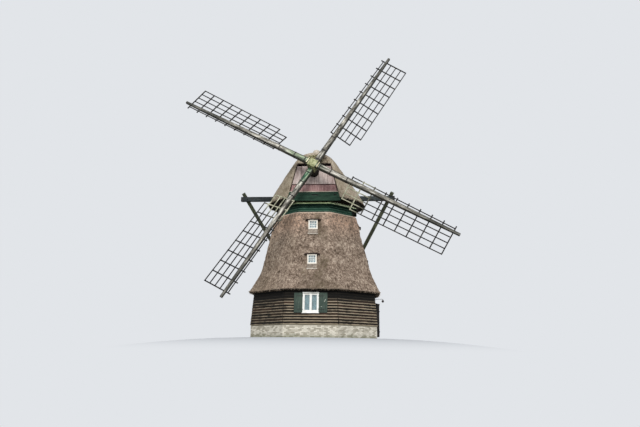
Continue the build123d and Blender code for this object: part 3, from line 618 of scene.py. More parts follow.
def smock_rows():
    """Rows up the outside of the thatch, as (apothem, height, share of roughness)."""
    # The outline bends from the eave to the straight batter without a sharp knee.
    heights = (3.03, 3.14, 3.36, 3.57, 3.79, 4.00, 4.22, 4.44, 4.65, SMALL_SILLS[0])
    reach = (4.56, 4.51, 4.395, 4.275, 4.15, 4.03, 3.915, 3.815, 3.74, smock_apothem(SMALL_SILLS[0]))
    spacing = 0.062
    rows = [(4.12, 3.034, 0.0), (4.18, 3.012, 0.0), (4.27, 3.014, 0.3), (4.37, 3.026, 0.6),
            (4.46, 3.056, 0.8), (4.53, 3.092, 1.0), (4.555, 3.15, 1.0)]
    rows += [(float(np.interp(z, heights, reach)), z, 1.0) for z in np.arange(3.22, SMALL_SILLS[0] - 0.01, spacing)]
    levels = [SMALL_SILLS[0] - 0.03]
    for sill in SMALL_SILLS:
        levels += [sill, sill + SMALL_HEIGHT - 0.012, sill + SMALL_HEIGHT]
    levels.append(SMOCK_TOP[1] - 0.05)
    for low, high in zip(levels, levels[1:]):
        steps = max(1, round((high - low) / spacing))
        rows += [(smock_apothem(z), z, 1.0) for z in np.linspace(low, high, steps + 1)[1:]]
    return rows + [(2.90, 8.535, 0.6), (2.84, 8.555, 0.4), (2.74, 8.56, 0.2), (2.62, 8.562, 0.0)]


def sills(side):
    return SMALL_SILLS if side in WINDOW_SIDES else ()


def near_window(side, u, z):
    """How far into a small window's surround a point is, from 0 outside to 1 at its frame."""
    share = 0.0
    for sill in sills(side):
        gap_u = max(0.0, abs(u) - 0.37)
        gap_z = max(0.0, sill - 0.39 - z, z - sill - SMALL_HEIGHT)
        share = max(share, 1 - min(1.0, hypot(gap_u, gap_z) / 0.12))
    return share


def eyebrow(side, u, z):
    """How far the thatch stands out over a small window."""
    for sill in sills(side):
        above = z - sill - SMALL_HEIGHT
        if -1e-6 < above < 0.42:
            wide = 1 - min(1.0, max(0.0, abs(u) - 0.40) / 0.17)
            return 0.118 * wide * wide * (3 - 2 * wide) * (1 - above / 0.42) ** 0.8
    return 0.0


def make_smock():
    # Places across a side: fixed ones round the windows, and shares of the way to each corner.
    inner_u = [0, 0.08, 0.16, 0.24, 0.32, 0.38, 0.44, 0.50, 0.57, 0.65]
    reach, outer_steps = inner_u[-1], 13
    fixed = [-u for u in reversed(inner_u[1:])] + inner_u
    places = [(None, -k / outer_steps) for k in range(outer_steps, 0, -1)] + [(u, 0) for u in fixed]
    places += [(None, k / outer_steps) for k in range(1, outer_steps)]
    columns = [(side, *place) for side in range(8) for place in places]
    rows = smock_rows()
    knee_row = next(k for k, row in enumerate(rows) if row[1] >= KNEE[1])
    lining_foot = 3.034
    outer, inner, tones = [], [], []
    for j, (apothem, z, roughness) in enumerate(rows):
        before, after = rows[max(0, j - 1)], rows[min(len(rows) - 1, j + 1)]
        run = Vector((after[0] - before[0], after[1] - before[1])).normalized()
        z_in = z if j >= knee_row else lining_foot + (KNEE[1] - lining_foot) * j / knee_row
        z_in = min(z_in, SMOCK_INNER_TOP[1])
        lining = between(z_in, SMOCK_INNER_FOOT, SMOCK_INNER_TOP)
        for side, u, share in columns:
            if u is None:
                u = copysign(reach + (apothem * TAN - reach) * abs(share), share)
            angle = radians(45 * side) + atan2(u, apothem)
            if abs(u) <= reach + 0.01:
                radius = hypot(apothem, u)
            else:
                cut = sum(abs(cos(angle - radians(45 * k))) ** 60 for k in range(4)) ** (1 / 60)
                radius = apothem / cut
            outward = Vector((sin(angle), -cos(angle), 0))
            point = outward * radius + Vector((0, 0, z))
            still = near_window(side, u, z)
            push = lumps(point, (0.012, 1.3, 1.0), (0.014, 0.30, 1.4), (0.013, 0.11, 1.8))
            lip = eyebrow(side, u, z)
            shift = push * (roughness * (1 - still)) + lip * (1 + 0.2 * turbulence(point, 0.12))
            # The south-east side swells above its eave.
            swell = exp(-((degrees(angle) % 360 - 66) / 19) ** 2)
            swell *= float(np.interp(z, [3.0, 3.6, 4.4, 5.2, 6.2, 7.2], [0.0, 0.06, 0.16, 0.15, 0.08, 0.0]))
            shift += swell * (1 - still) * (1 - min(1.0, lip / 0.1))
            point += outward * (run[1] * shift) - Vector((0, 0, run[0] * shift))
            if lip:
                point.z -= 0.09 * max(0.0, abs(u) - SMALL_HALF)
            outer.append(point)
            inner.append(side_point(side, u * lining / apothem if abs(u) > SMALL_HALF + 1e-6 else u, lining, z_in))
            tones.append(0.5 + 0.5 * turbulence(point, 0.6))
    count = len(columns)

    def in_window(j, i):
        (side, u, _), (_, u_next, _) = columns[i], columns[(i + 1) % count]
        low, high = rows[j][1], rows[j + 1][1]
        return u is not None and u_next is not None and (
            -SMALL_HALF - 1e-6 <= u and u_next <= SMALL_HALF + 1e-6) and any(
            sill - 1e-6 <= low and high <= sill + SMALL_HEIGHT + 1e-6 for sill in sills(side))

    faces = [f for f in ring_faces(len(rows) - 1, count) if not in_window(*divmod(f[0], count))]
    lay_reed("smock_thatch", outer, inner, faces, count, ("tower", "thatch", "thatch"),
             ("thatch_main_sides", "thatch_corner_sides", "window_hoods"), tones,
             ("smock_reed_ends", 5, len(rows) - 5, 17000, 11),
             ("eave_reed_ends", 2, 5, 6000, 12, 0.034, 0.014, 0.008))


# Thatched cap.

def cap_plan(z, inset=0.0):
    """Half width, half length, forward shift and exponent of the cap's plan at a height."""
    heights, plans = CAP_LEVELS[:, 0], CAP_LEVELS[:, 1:]
    z = min(max(z, heights[0]), heights[-1])
    k = min(len(heights) - 2, int(np.searchsorted(heights, z, side="right")) - 1)
    before, after = max(0, k - 1), min(len(heights) - 1, k + 2)
    step = heights[k + 1] - heights[k]
    t = (z - heights[k]) / step
    p0, p1 = plans[k], plans[k + 1]
    m0 = (p1 - plans[before]) / (heights[k + 1] - heights[before]) * step
    m1 = (plans[after] - p0) / (heights[after] - heights[k]) * step
    half_width, half_length, forward, power = (
        (2 * t**3 - 3 * t**2 + 1) * p0 + (t**3 - 2 * t**2 + t) * m0
        + (3 * t**2 - 2 * t**3) * p1 + (t**3 - t**2) * m1)
    return max(0.04, half_width - inset), max(0.1, half_length - inset), forward, power


def cap_curve(angle, half_width, half_length, forward, power):
    c, s = cos(angle), sin(angle)
    size = (abs(c) ** power + abs(s) ** power) ** (-1 / power)
    return half_width * size * c, half_length * size * s - forward


def opening_half(z):
    """Half width of the cap's front opening."""
    return OPENING_FOOT - OPENING_SLOPE * (z - CAP_FOOT)


def cap_loop(z, inset, back_steps, front_steps):
    """Points round the cap at one height, from the opening's left edge round the back and front."""
    plan = cap_plan(z, inset)
    edge = opening_half(z) if z <= OPENING_TOP + 1e-6 else min(opening_half(z), 0.64 * plan[0])
    ratio, power = plan[0] / min(edge, 0.995 * plan[0]), plan[3]
    right = -atan((ratio**power - 1) ** (1 / power))
    left = -pi - right
    loop = [cap_curve(left - (left + tau - right) * k / back_steps, *plan) for k in range(back_steps)]
    for k in range(front_steps):
        _, y = cap_curve(right + (left - right) * k / front_steps, *plan)
        loop.append((edge * (1 - 2 * k / front_steps), y))
    front, soft = CAP_FRONT - inset, 0.05
    return [(x, (y - front + sqrt((y + front) ** 2 + soft**2)) / 2) for x, y in loop]


def make_cap():
    back_steps, front_steps = 190, 44
    heights = list(np.arange(CAP_FOOT, 12.04, 0.066)) + [OPENING_TOP]
    opening_row = len(heights) - 1
    heights += list(np.linspace(OPENING_TOP, 13.54, 26)[1:])
    outer, inner, tones = [], [], []
    for z in heights:
        low, high = cap_plan(z - 0.05), cap_plan(z + 0.05)
        for x, y in cap_loop(z, 0, back_steps, front_steps):
            point = Vector((x, y, z))
            if y < -CAP_FRONT + 0.06:
                outward = Vector((0, -1, 0))
            else:
                outward = Vector((x / max(0.3, low[0]), (y + low[2]) / max(0.3, low[1]), 0)).normalized()
                outward = (outward + Vector((0, 0, (low[0] - high[0]) / 0.1))).normalized()
            push = lumps(point, (0.018, 1.1, 1.0), (0.018, 0.28, 1.3), (0.014, 0.10, 1.6))
            rough = (0.45 if y < -CAP_FRONT + 0.25 else 1.0) * (0.4 if z < 9.75 else 1.0)
            point += outward * (push * rough - 0.01)
            outer.append(point)
            tones.append(0.5 + 0.5 * turbulence(point, 0.5))
        z_in = max(z if z <= OPENING_TOP else OPENING_TOP + (z - OPENING_TOP) * 0.42, CAP_FOOT + 0.01)
        inner += [(x, y, z_in) for x, y in cap_loop(z_in, CAP_THICKNESS, back_steps, front_steps)]
    count = back_steps + front_steps
    faces = [f for f in ring_faces(len(heights) - 1, count)
             if f[0] // count >= opening_row or f[0] % count < back_steps]
    lay_reed("cap_reed_shell", outer, inner, faces, count, ("cap", "cap", "cap_thatch"), ("cap_thatch",), tones,
             ("cap_reed_ends", 2, len(heights), 9000, 21),
             ("cap_eave_reed_ends", 0, 1, 2400, 22, 0.08, 0.016, 0.014))


def make_roll():
    """The lichened roll of old reed over the shaft: a lumpy dome with rings of cut ends."""
    rings, steps = 16, 64
    centre_z, half_x, half_z, foot, reach = 12.33, 0.61, 0.325, 2.975, 0.225
    points, tones = [], []
    for j in range(rings + 1):
        climb = j / rings * pi / 2
        rho = cos(climb) ** 0.6 if j < rings else 0.0
        height = sin(climb) ** 0.75
        for k in range(steps):
            angle = tau * k / steps
            x, z = half_x * rho * cos(angle), half_z * rho * sin(angle)
            ring = sin(rho * 21 + 1.5 * sin(angle))
            lump = 0.020 * noise.noise(Vector((x, z, 3)) / 0.11) + 0.012 * noise.noise(Vector((x, z, 8)) / 0.04)
            y = foot + reach * height * 0.88 + (0.012 * ring * height + lump * min(1, 3 * height))
            points.append((x, -min(y, foot + reach + 0.022), centre_z + z))
            # The tone follows the raised rings: painted shade in the hollows, painted light on the rings.
            tones.append(0.5 + 0.5 * ring * (0.4 + 0.6 * height))
    faces = capped_rings(rings - 1, steps)
    finish_mesh("lichened_roll", points, faces, "cap", "roll", "cap_thatch", ("shaft_hood",), tones, smooth=True)
    reed_tufts("roll_reed_ends", np.array(points), faces[:-2], 900, 23, "cap", "roll", "cap_thatch",
               0.06, 0.02, 0.02)


def make_ridge():
    """The cap's top knob, a bound bundle of reed."""
    low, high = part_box("cap_ridge")
    rings, steps = 14, 56
    foot, rise = low.z - 0.34, high.z - 0.20 - low.z + 0.34
    middle_y = (low.y + high.y) / 2 + 0.05
    points = []
    for j in range(rings + 1):
        share = j / rings
        climb = min(1, share * 1.2)
        shrink = 1.50 - 0.52 * climb
        if share > 0.84:
            shrink *= 1 - (share - 0.84) / 0.16 * 0.9
        shrink += 0.045 * exp(-((climb - 0.45) / 0.08) ** 2)
        for c, s in circle(1, steps):
            size = shrink * (1 + 0.035 * noise.noise(Vector((c * 3, s * 3, share * 4))))
            points.append(((high.x - 0.03) * size * c, middle_y + (high.y - low.y) * 0.40 * size * s,
                           foot + rise * climb))
    finish_mesh("cap_ridge_bundle", points, capped_rings(rings, steps), "cap", "cap", "cap_thatch",
                ("cap_ridge",), [0.75] * len(points), smooth=True)


# Base storey: brick plinth, lapped boards, windows, shutters and door.

def make_plinth():
    """Limewashed bricks standing just proud of the masonry's joints."""
    bricks = Solids(31)
    long, high, joint, proud = 0.225, 0.085, 0.012, 0.010
    half = (PLINTH[0] + proud) * TAN
    for side in range(8):
        for row in range(int(PLINTH[1] / high)):
            z = row * high
            u = -half - (long / 2 if row % 2 else 0)
            while u < half:
                left, right = max(-half + 0.004, u + joint / 2), min(half - 0.004, u + long - joint / 2)
                u += long
                beside_door = side != EAST or right <= -CASING_HALF or left >= CASING_HALF
                if right - left >= 0.03 and beside_door:
                    face = PLINTH[0] + proud + bricks.random.uniform(-0.004, 0.003)
                    bricks.block(side, (left, right), (PLINTH[0] - 0.02, face),
                                 (z + joint / 2, z + high - joint / 2))
    bricks.make("plinth_bricks", "tower", "masonry", "masonry", bevel=0.004)


def lapped_board(solids, side, ends, foot, wall, exposure, proud, wave, joint, key=0.0):
    """One board of lapped cladding: thick at its wavy lower edge, thin under the board above."""
    left, right = ends
    steps = max(2, int((right - left) / 0.16))
    thickness = proud * solids.random.uniform(0.82, 1.1)
    sections = []
    for k in range(steps + 1):
        u = left + (right - left) * (k / steps)
        spot = Vector((u, foot * 3.7 + side * 5.1, key))
        drop = wave * (noise.noise(spot / 0.7) + 0.5 * noise.noise(spot / 0.17))
        swell = 0.12 * noise.noise(spot / 0.4 + Vector((0, 0, 9)))
        low, high = foot - 0.012 + drop, foot + exposure + 0.015
        section = []
        for depth, z in ((-0.01, low), (thickness * (1 + swell), low), (thickness * 0.35, high), (-0.01, high)):
            apothem = wall(z) + depth
            limit = apothem * TAN - joint
            section.append(side_point(side, max(-limit, min(limit, u)), apothem, z))
        sections.append(section)
    solids.tube(sections, down=[1.0, 1.0, 0.0, 0.0])


def board_spans(solids, low, high, gaps=()):
    """Splits a run at the openings and at odd board ends."""
    spans = [(low, high)]
    for left, right in gaps:
        spans = [piece for a, b in spans for piece in ((a, min(b, left)), (max(a, right), b)) if piece[1] > piece[0]]
    boards = []
    for a, b in spans:
        if b - a > 2.4:
            cut = a + (b - a) * solids.random.uniform(0.3, 0.7)
            boards += [(a, cut - 0.003), (cut + 0.003, b)]
        elif b - a >= 0.05:
            boards.append((a, b))
    return boards


def make_base_boards():
    solids, exposure = Solids(32), 0.18
    window_half = BASE_WINDOW_HALF + SHUTTER_WIDTH + 0.012
    for side in range(8):
        for row in range(12):
            foot = BASE_FOOT[1] + row * exposure
            half = (base_apothem(foot) + 0.06) * TAN
            beside = foot + exposure > BASE_WINDOW_SILL + 0.02 and foot < BASE_WINDOW_HEAD - 0.05
            gaps = []
            if side in (FRONT, BACK) and beside:
                gaps = [(-window_half, window_half)]
            if side == EAST and foot < DOOR_HEAD + 0.23:
                gaps = [(-CASING_HALF - 0.006, CASING_HALF + 0.006)]
            for ends in board_spans(solids, -half, half, gaps):
                lapped_board(solids, side, ends, foot, base_apothem, exposure, 0.042, 0.011, 0.020)
    solids.make("base_lapped_boards", "tower", "boards", "dark_boards")


class LeaningPlane:
    """Places on the front or back base wall: u to the right, v up the wall and w outwards."""

    def __init__(self, side):
        middle = (BASE_WINDOW_SILL + BASE_WINDOW_HEAD) / 2
        lean = atan2(BASE_FOOT[0] - BASE_HEAD[0], BASE_HEAD[1] - BASE_FOOT[1])
        turn = Matrix.Rotation(radians(45 * side), 3, "Z")
        self.origin, self.right, self.up, self.out = (turn @ Vector(v) for v in (
            (0, -base_apothem(middle), middle), (1, 0, 0),
            (0, sin(lean), cos(lean)), (0, -cos(lean), sin(lean))))

    def at(self, u, v, w):
        return self.origin + self.right * u + self.up * v + self.out * w

    def block(self, solids, us, vs, ws):
        solids.tube([[self.at(u, v, w) for v, w in ((vs[0], ws[0]), (vs[0], ws[1]), (vs[1], ws[1]), (vs[1], ws[0]))]
                     for u in sorted(us)])


def make_base_windows():
    casements, leaves, marks, iron = map(Solids, range(33, 37))
    inner, outer = 0.045, BASE_WINDOW_HALF - 0.07
    near, far = BASE_WINDOW_HALF + 0.014, BASE_WINDOW_HALF + SHUTTER_WIDTH - 0.004
    low, high, lip, boards = -HALF_HEIGHT + 0.07, HALF_HEIGHT - 0.07, 0.008, 5
    for side in (FRONT, BACK):
        plane = LeaningPlane(side)
        for s in (-1, 1):
            for a, b, bottom, top in (
                (inner, inner + 0.032, low, high), (outer - 0.062, outer, low, high),
                (inner + 0.032, outer - 0.062, high - 0.070, high), (inner + 0.032, outer - 0.062, low, low + 0.105),
            ):
                us = sorted((s * a, s * b))
                plane.block(casements, us, (bottom, top), (-0.029, 0.012))
                plane.block(casements, (us[0] + lip, us[1] - lip), (bottom + lip, top - lip), (0.010, 0.020))
            plane.block(casements, (s * (inner + 0.004), s * (inner + 0.020)), (-0.05, 0.03), (0.02, 0.045))
            for a, b in strips(near, far, boards):
                plane.block(leaves, (s * a, s * (b - 0.006)), (-HALF_HEIGHT + 0.006, HALF_HEIGHT - 0.006),
                            (0.030, 0.041))
            for a, b, bottom, top in (
                (near, near + 0.07, -HALF_HEIGHT, HALF_HEIGHT), (far - 0.07, far, -HALF_HEIGHT, HALF_HEIGHT),
                (near + 0.07, far - 0.07, HALF_HEIGHT - 0.08, HALF_HEIGHT),
                (near + 0.07, far - 0.07, -HALF_HEIGHT, -HALF_HEIGHT + 0.09),
                (near + 0.07, far - 0.07, -0.04, 0.04),
            ):
                plane.block(leaves, (s * a, s * b), (bottom, top), (0.036, 0.052))
            for v in (-HALF_HEIGHT + 0.22, HALF_HEIGHT - 0.22):
                plane.block(iron, (s * (near - 0.035), s * (near + 0.34)), (v - 0.016, v + 0.016), (0.050, 0.057))
                centre = plane.at(s * (near - 0.02), v, 0.054)
                iron.rod(centre - plane.up * 0.035, centre + plane.up * 0.035, 0.011)
        plane.block(casements, (-0.56, 0.56), (-HALF_HEIGHT - 0.035, -HALF_HEIGHT + 0.004), (-0.01, 0.085))
        plane.block(casements, (-0.545, 0.545), (HALF_HEIGHT - 0.002, HALF_HEIGHT + 0.028), (-0.01, 0.070))
    plane = LeaningPlane(FRONT)
    # Three pale streaks on the front shutters.
    for u, v, long, lean in ((0.925, 0.12, 0.15, 1.0), (0.955, 0.20, 0.07, 1.2), (0.70, -0.26, 0.07, -0.35)):
        run = Vector((cos(lean), sin(lean)))
        centres = (Vector((u, v)) + run * (k * long / 2) for k in (-1, 1))
        marks.tube([[plane.at(centre.x - run.y * w, centre.y + run.x * w, d)
                    for w, d in ((-0.014, 0.050), (0.014, 0.050), (0.010, 0.0545), (-0.010, 0.0545))]
                   for centre in centres])
    casements.make("casements", "tower", "white", "white_paint", bevel=0.003)
    leaves.make("shutter_frames", "tower", "shutter", "shutter_green", bevel=0.003)
    marks.make("shutter_pale_streaks", "tower", "shutter_pale_marks", "shutter_green")
    iron.make("shutter_hinges", "tower", "iron", "ironwork", bevel=0.002)


def hang_sheet(name, corner, across, down, out, wide, tall, folds, depth, look):
    """A gathered curtain: a thin sheet whose soft folds deepen towards the foot."""
    columns, rows = folds * 8, 14
    points = []
    for v in (j / rows for j in range(rows + 1)):
        for u in (i / columns for i in range(columns + 1)):
            wave = sin(tau * folds * u + 0.9 * sin(3 * v + name.count("e")))
            wave += 0.35 * noise.noise(Vector((u * 5, v * 2, len(name))))
            points.append(corner + across * (u * wide) + down * (v * tall) + out * (depth * (0.45 + 0.55 * v) * wave))
    corners = (j * (columns + 1) + i for j in range(rows) for i in range(columns))
    piece = add_object(name, points, [(a, a + 1, a + columns + 2, a + columns + 1) for a in corners],
                       LOOKS[look], True)
    cloth = piece.modifiers.new("thickness", "SOLIDIFY")
    cloth.thickness = 0.0012
    cloth.offset = 0
    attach(piece, "tower")


def make_curtains():
    rails, level, half = Solids(37), HALF_HEIGHT - 0.05, 0.522
    planes = {"front": LeaningPlane(FRONT), "back": LeaningPlane(BACK)}
    for plane in planes.values():
        rails.rod(plane.at(-half, level, -CURTAIN_DEPTH), plane.at(half, level, -CURTAIN_DEPTH), 0.010)
    nets = [(row, label, side, smock_apothem(sill) + SMALL_FACE - CURTAIN_DEPTH, sill + SMALL_HEIGHT - 0.075)
            for row, sill in zip(("lower", "upper"), SMALL_SILLS)
            for label, side in (("front", FRONT), ("east", EAST), ("back", BACK))]
    for _, _, side, inside, z in nets:
        rails.rod(side_point(side, -0.262, inside, z), side_point(side, 0.262, inside, z), 0.006)
    rail = rails.make("curtain_rods", "tower", "iron", "ironwork")
    for label, plane in planes.items():
        for start, hand in ((-0.10 - 0.30, "left"), (0.10, "right")):
            hang_sheet(f"curtain_{label}_{hand}", plane.at(start, level, -CURTAIN_DEPTH), plane.right, -plane.up,
                       plane.out, 0.30, 1.13, 4, 0.026, "tinted_curtain")
    for row, label, side, inside, z in nets:
        hang_sheet(f"net_{label}_{row}", side_point(side, -0.25, inside, z), side_point(side, 1, 0, 0),
                   Vector((0, 0, -1)), side_point(side, 0, 1, 0), 0.50, 0.50, 5, 0.012, "curtain")


def make_small_windows():
    bars, brows = Solids(38), Solids(39)
    stile, foot_rail, brow_half, brow_steps = 0.034, 0.040, 0.53, 16
    for sill in SMALL_SILLS:
        face, head = smock_apothem(sill) + SMALL_FACE, sill + SMALL_HEIGHT
        low, high, inner = sill + 0.06, head - 0.06, SMALL_HALF - 0.06
        clear = inner - stile
        for side in WINDOW_SIDES:
            depth, thin = (face - 0.060, face - 0.022), (face - 0.058, face - 0.030)
            for a, b in ((-inner, -clear), (clear, inner)):
                bars.block(side, (a, b), depth, (low, high))
            for a, b in ((low, low + foot_rail), (high - stile, high)):
                bars.block(side, (-clear, clear), depth, (a, b))
            for u in (-clear / 3, clear / 3):
                bars.block(side, (u - 0.017, u + 0.017), thin, (low + foot_rail, high - stile))
            for k in (1, 2):
                z = low + foot_rail + (high - low - foot_rail - stile) / 3 * k
                bars.block(side, (-clear, clear), (thin[0] + 0.002, thin[1] - 0.002), (z - 0.016, z + 0.016))
            sections = []
            for k in range(brow_steps + 1):
                u = -brow_half + 2 * brow_half * k / brow_steps
                bow = 1 - (u / brow_half) ** 2
                out = 0.150 + 0.075 * min(1.0, 2.2 * bow)
                sections.append([side_point(side, u, smock_apothem(head) + d, head - 0.022 + 0.045 * bow + z)
                                 for d, z in ((-0.02, 0.0), (out, -0.012), (out + 0.006, 0.036), (-0.02, 0.105))])
            brows.tube(sections)
    bars.make("glazing_bars", "tower", "white", "white_paint", bevel=0.002)
    brows.make("window_brows", "tower", "brow", "dark_boards", bevel=0.006)


def make_door():
    """Boards, battens and studs on the door leaf, boards on its casing, and the lamp."""
    boards, studs, arm, globe, casing = map(Solids, range(41, 46))
    low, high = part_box("door_leaf")
    for a, b in strips(low.y, high.y, 7):
        us = (a + 0.003, b - 0.003)
        boards.block(EAST, us, (high.x - 0.004, high.x + 0.005), (low.z + 0.002, high.z - 0.002))
        boards.block(EAST, us, (low.x - 0.010, low.x + 0.004), (low.z + 0.03, high.z - 0.03))
    for z in (0.45, 1.2, 1.95):
        boards.block(EAST, (low.y + 0.06, high.y - 0.06), (low.x - 0.036, low.x - 0.008), (z - 0.07, z + 0.07))
    for z in (0.5, 1.9):
        for y in (low.y + 0.08 + 0.11 * k for k in range(6)):
            studs.rod((high.x + 0.004, y, z), (high.x + 0.013, y, z), 0.011, 8, 0.007)
    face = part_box("door_jambs")[1].x
    for s in (-1, 1):
        for k in range(2):
            a = s * (DOOR_HALF + 0.006 + 0.058 * k)
            casing.block(EAST, sorted((a, a + s * 0.052)), (face - 0.012, face + 0.010), (0.16, DOOR_HEAD + 0.10))
    casing.block(EAST, (-CASING_HALF - 0.02, CASING_HALF + 0.02), (face - 0.02, face + 0.022),
                 (DOOR_HEAD + 0.012, DOOR_HEAD + 0.105))
    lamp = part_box("door_lamp")[1]
    level, end = lamp.z - 0.012, lamp.x - 0.09
    wall = base_apothem(level)
    for start, stop, *sizes in (
        ((wall - 0.01, level), (end + 0.012, level), 0.013),
        ((wall - 0.01, level), (wall + 0.055, level), 0.055, 16, 0.03),
        ((wall + 0.02, level - 0.17), (wall + 0.22, level - 0.005), 0.008),
        ((end, level), (end, level - 0.06), 0.012),
        ((end, level - 0.055), (end, level - 0.095), 0.03, 16, 0.052),
    ):
        arm.rod((start[0], 0, start[1]), (stop[0], 0, stop[1]), *sizes)
    globe.ball(Vector((end, 0, level - 0.148)), 0.09)
    casing.make("door_casing_boards", "tower", "door_frame", "door_timber", bevel=0.003)
    boards.make("door_boards", "door", "door", "door_timber", bevel=0.002)
    studs.make("door_studs", "door", "iron", "ironwork")
    arm.make("lamp_arm", "tower", "iron", "ironwork")
    globe.make("lamp_globe", "tower", "globe", "lamp", ("door_lamp",), smooth=True)


# Neck and the front of the cap.

def make_neck():
    """Lapped boards round the neck, the mossy ledge over them and the trim over the thatch."""
    battens, lapped, slats, fillet = map(Solids, range(50, 54))
    rows, slat_count = 4, 9
    exposure = (SKIRT_EDGE_HEIGHT - SMOCK_TOP[1]) / rows
    half = (NECK_APOTHEM + 0.05) * TAN
    edge, top = (SKIRT_REACH, SKIRT_EDGE_HEIGHT - 0.02), (SKIRT_TOP[0] - 0.02, SKIRT_TOP[1] - 0.012)
    batten_half, fillet_half = (SKIRT_REACH - 0.012) * TAN, (SMOCK_TOP[0] - 0.10) * TAN
    for side in range(8):
        for foot in (SMOCK_TOP[1] + 0.012 + row * exposure for row in range(rows)):
            for ends in board_spans(lapped, -half, half):
                lapped_board(lapped, side, ends, foot, lambda z: NECK_APOTHEM, exposure - 0.006, 0.030, 0.003,
                             0.005, key=3.0)
        for k in range(slat_count):
            sections = []
            for apothem, z in (edge, top):
                u0, u1 = ((k - back) / 4.5 * apothem * TAN for back in (4.5, 3.5))
                sections.append([side_point(side, u, apothem, z + up) for u, up in (
                    (u0 + 0.004, -0.014), (u1 - 0.004, -0.014), (u1 - 0.004, 0.008), (u0 + 0.004, 0.008))])
            slats.tube(sections)
        battens.block(side, (-batten_half, batten_half), (SKIRT_REACH - 0.045, SKIRT_REACH - 0.012),
                      (edge[1] - 0.055, edge[1] - 0.012))
        fillet.block(side, (-fillet_half, fillet_half), (NECK_APOTHEM + 0.03, SMOCK_TOP[0] - 0.055),
                     (SMOCK_TOP[1] + 0.012, SMOCK_TOP[1] + 0.034))
    lapped.make("neck_lapped_boards", "tower", "neck", "green_boards")
    battens.make("drip_battens", "tower", "fascia", "green_boards", bevel=0.003)
    slats.make("drip_slats", "tower", "drip", "green_boards", bevel=0.003)
    fillet.make("thatch_top_fillet", "tower", "trim", "green_boards", bevel=0.006)


def breast_plank(solids, left, right, low, high, front, hole=None):
    """An upright plank, cut to the slope of the opening and round the shaft's slot."""
    steps = max(1, round((right - left) / 0.03))
    sections = []
    for x in (left + (right - left) * k / steps for k in range(steps + 1)):
        top = min(high, CAP_FOOT + (OPENING_FOOT - 0.012 - abs(x)) / OPENING_SLOPE)
        if hole is not None and abs(x) < hole[1]:
            top = min(top, hole[0] - sqrt(hole[1] ** 2 - x * x) - 0.004)
        if top - low >= 0.02:
            sections.append([(x, -y, z) for y, z in (
                (BREAST_PLANE, low), (front, low), (front, top), (BREAST_PLANE, top))])
    if len(sections) > 1:
        solids.tube(sections)


def make_breast():
    """Two layers of faded red planks, with a pale foot, and dark strips at the step, the sides and the top that stand
    in as painted shade.
    """
    upper, lower, trim, dark = map(Solids, range(54, 58))
    # The shaft's slot as the height of its middle and its radius.
    slot = (HUB.z - (-BREAST_PLANE - HUB.y) * tan(TILT) + 0.012, 0.345)
    wide_joints = (-0.88, 0.33, 0.96)
    seams = [-1.60, -1.24, -0.88, -0.56, -0.26, 0.03, 0.33, 0.64, 0.96, 1.28, 1.60]
    for left, right in zip(seams, seams[1:]):
        front = BREAST_PLANE + 0.085 + upper.random.uniform(-0.006, 0.0)
        breast_plank(upper, left + (0.014 if left in wide_joints else 0.006), right - 0.003, BREAST_STEP,
                     BREAST_TOP + 0.10, front, slot)
    seams = [-1.81, -1.42, -1.05, -0.70, -0.34, 0.02, 0.38, 0.74, 1.10, 1.46, 1.81]
    for left, right in zip(seams, seams[1:]):
        front = BREAST_PLANE + 0.04 + lower.random.uniform(-0.005, 0.0)
        breast_plank(lower, left + 0.004, right - 0.004, 9.702, BREAST_STEP - 0.004, front)

    def level_board(solids, half, y, z, width, depth):
        solids.beam((-half, y, z), (half, y, z), width, depth)

    foot = 9.97
    level_board(trim, opening_half(foot) - 0.01, -2.985, foot + 0.022, 0.11, 0.044)
    # Dark strips under the step, up the sides and under the opening's top: painted shade lines.
    level_board(dark, opening_half(BREAST_STEP) - 0.02, -2.955, BREAST_STEP + 0.002, 0.05, 0.026)
    for s in (-1, 1):
        for ends in ((9.99, BREAST_STEP), (BREAST_STEP, OPENING_TOP)):
            start, end = ((s * (opening_half(z) - 0.03), -2.99, z) for z in ends)
            dark.beam(start, end, 0.05, 0.055, up=(0, 1, 0))
    level_board(dark, opening_half(OPENING_TOP), -2.965, OPENING_TOP - 0.025, 0.06, 0.05)
    upper.make("breast_upper_planks", "cap", "breast", "breast_red", ("breast_boards",), bevel=0.003)
    lower.make("breast_lower_planks", "cap", "breast_low", "breast_red", bevel=0.003)
    trim.make("breast_foot_trim", "cap", "trim", "breast_red", bevel=0.006)
    dark.make("breast_shade_strips", "cap", "brow", "breast_red", bevel=0.006)


def make_fascia():
    """Green boards with two slots near their upper edge, and near-black blocks behind the slots as painted shade."""
    boards, dark = Solids(58), Solids(59)
    back, front = 2.932, 3.008
    slots = ((-0.14, 0.33), (1.40, 1.58))
    for low, high, gaps in ((9.352, 9.530, ()), (9.536, 9.715, ()), (9.721, 9.80, slots), (9.806, 9.968, ())):
        half = opening_half(low), opening_half(high)
        ends = [(-half[0], -half[1])] + [(x, x) for gap in gaps for x in gap] + [half]
        for pair in zip(ends[0::2], ends[1::2]):
            boards.tube([[(foot, -back, low), (foot, -front, low), (head, -front, high), (head, -back, high)]
                         for foot, head in pair])
    # Near-black blocks behind the slots: painted shade.
    for a, b in slots:
        dark.beam((a - 0.02, -2.942, 9.76), (b + 0.02, -2.942, 9.76), 0.016, 0.10)
    boards.make("cap_fascia_boards", "cap", "fascia", "green_boards", ("cap_fascia",), bevel=0.005)
    dark.make("fascia_slot_shade", "cap", "gap", "green_boards")


# Rotor and winding gear.

def stock_size(r):
    """Thickness of a stock at a distance from the hub."""
    return STOCK_ROOT - STOCK_TAPER * (r - TAPER_START) / TAPER_LENGTH


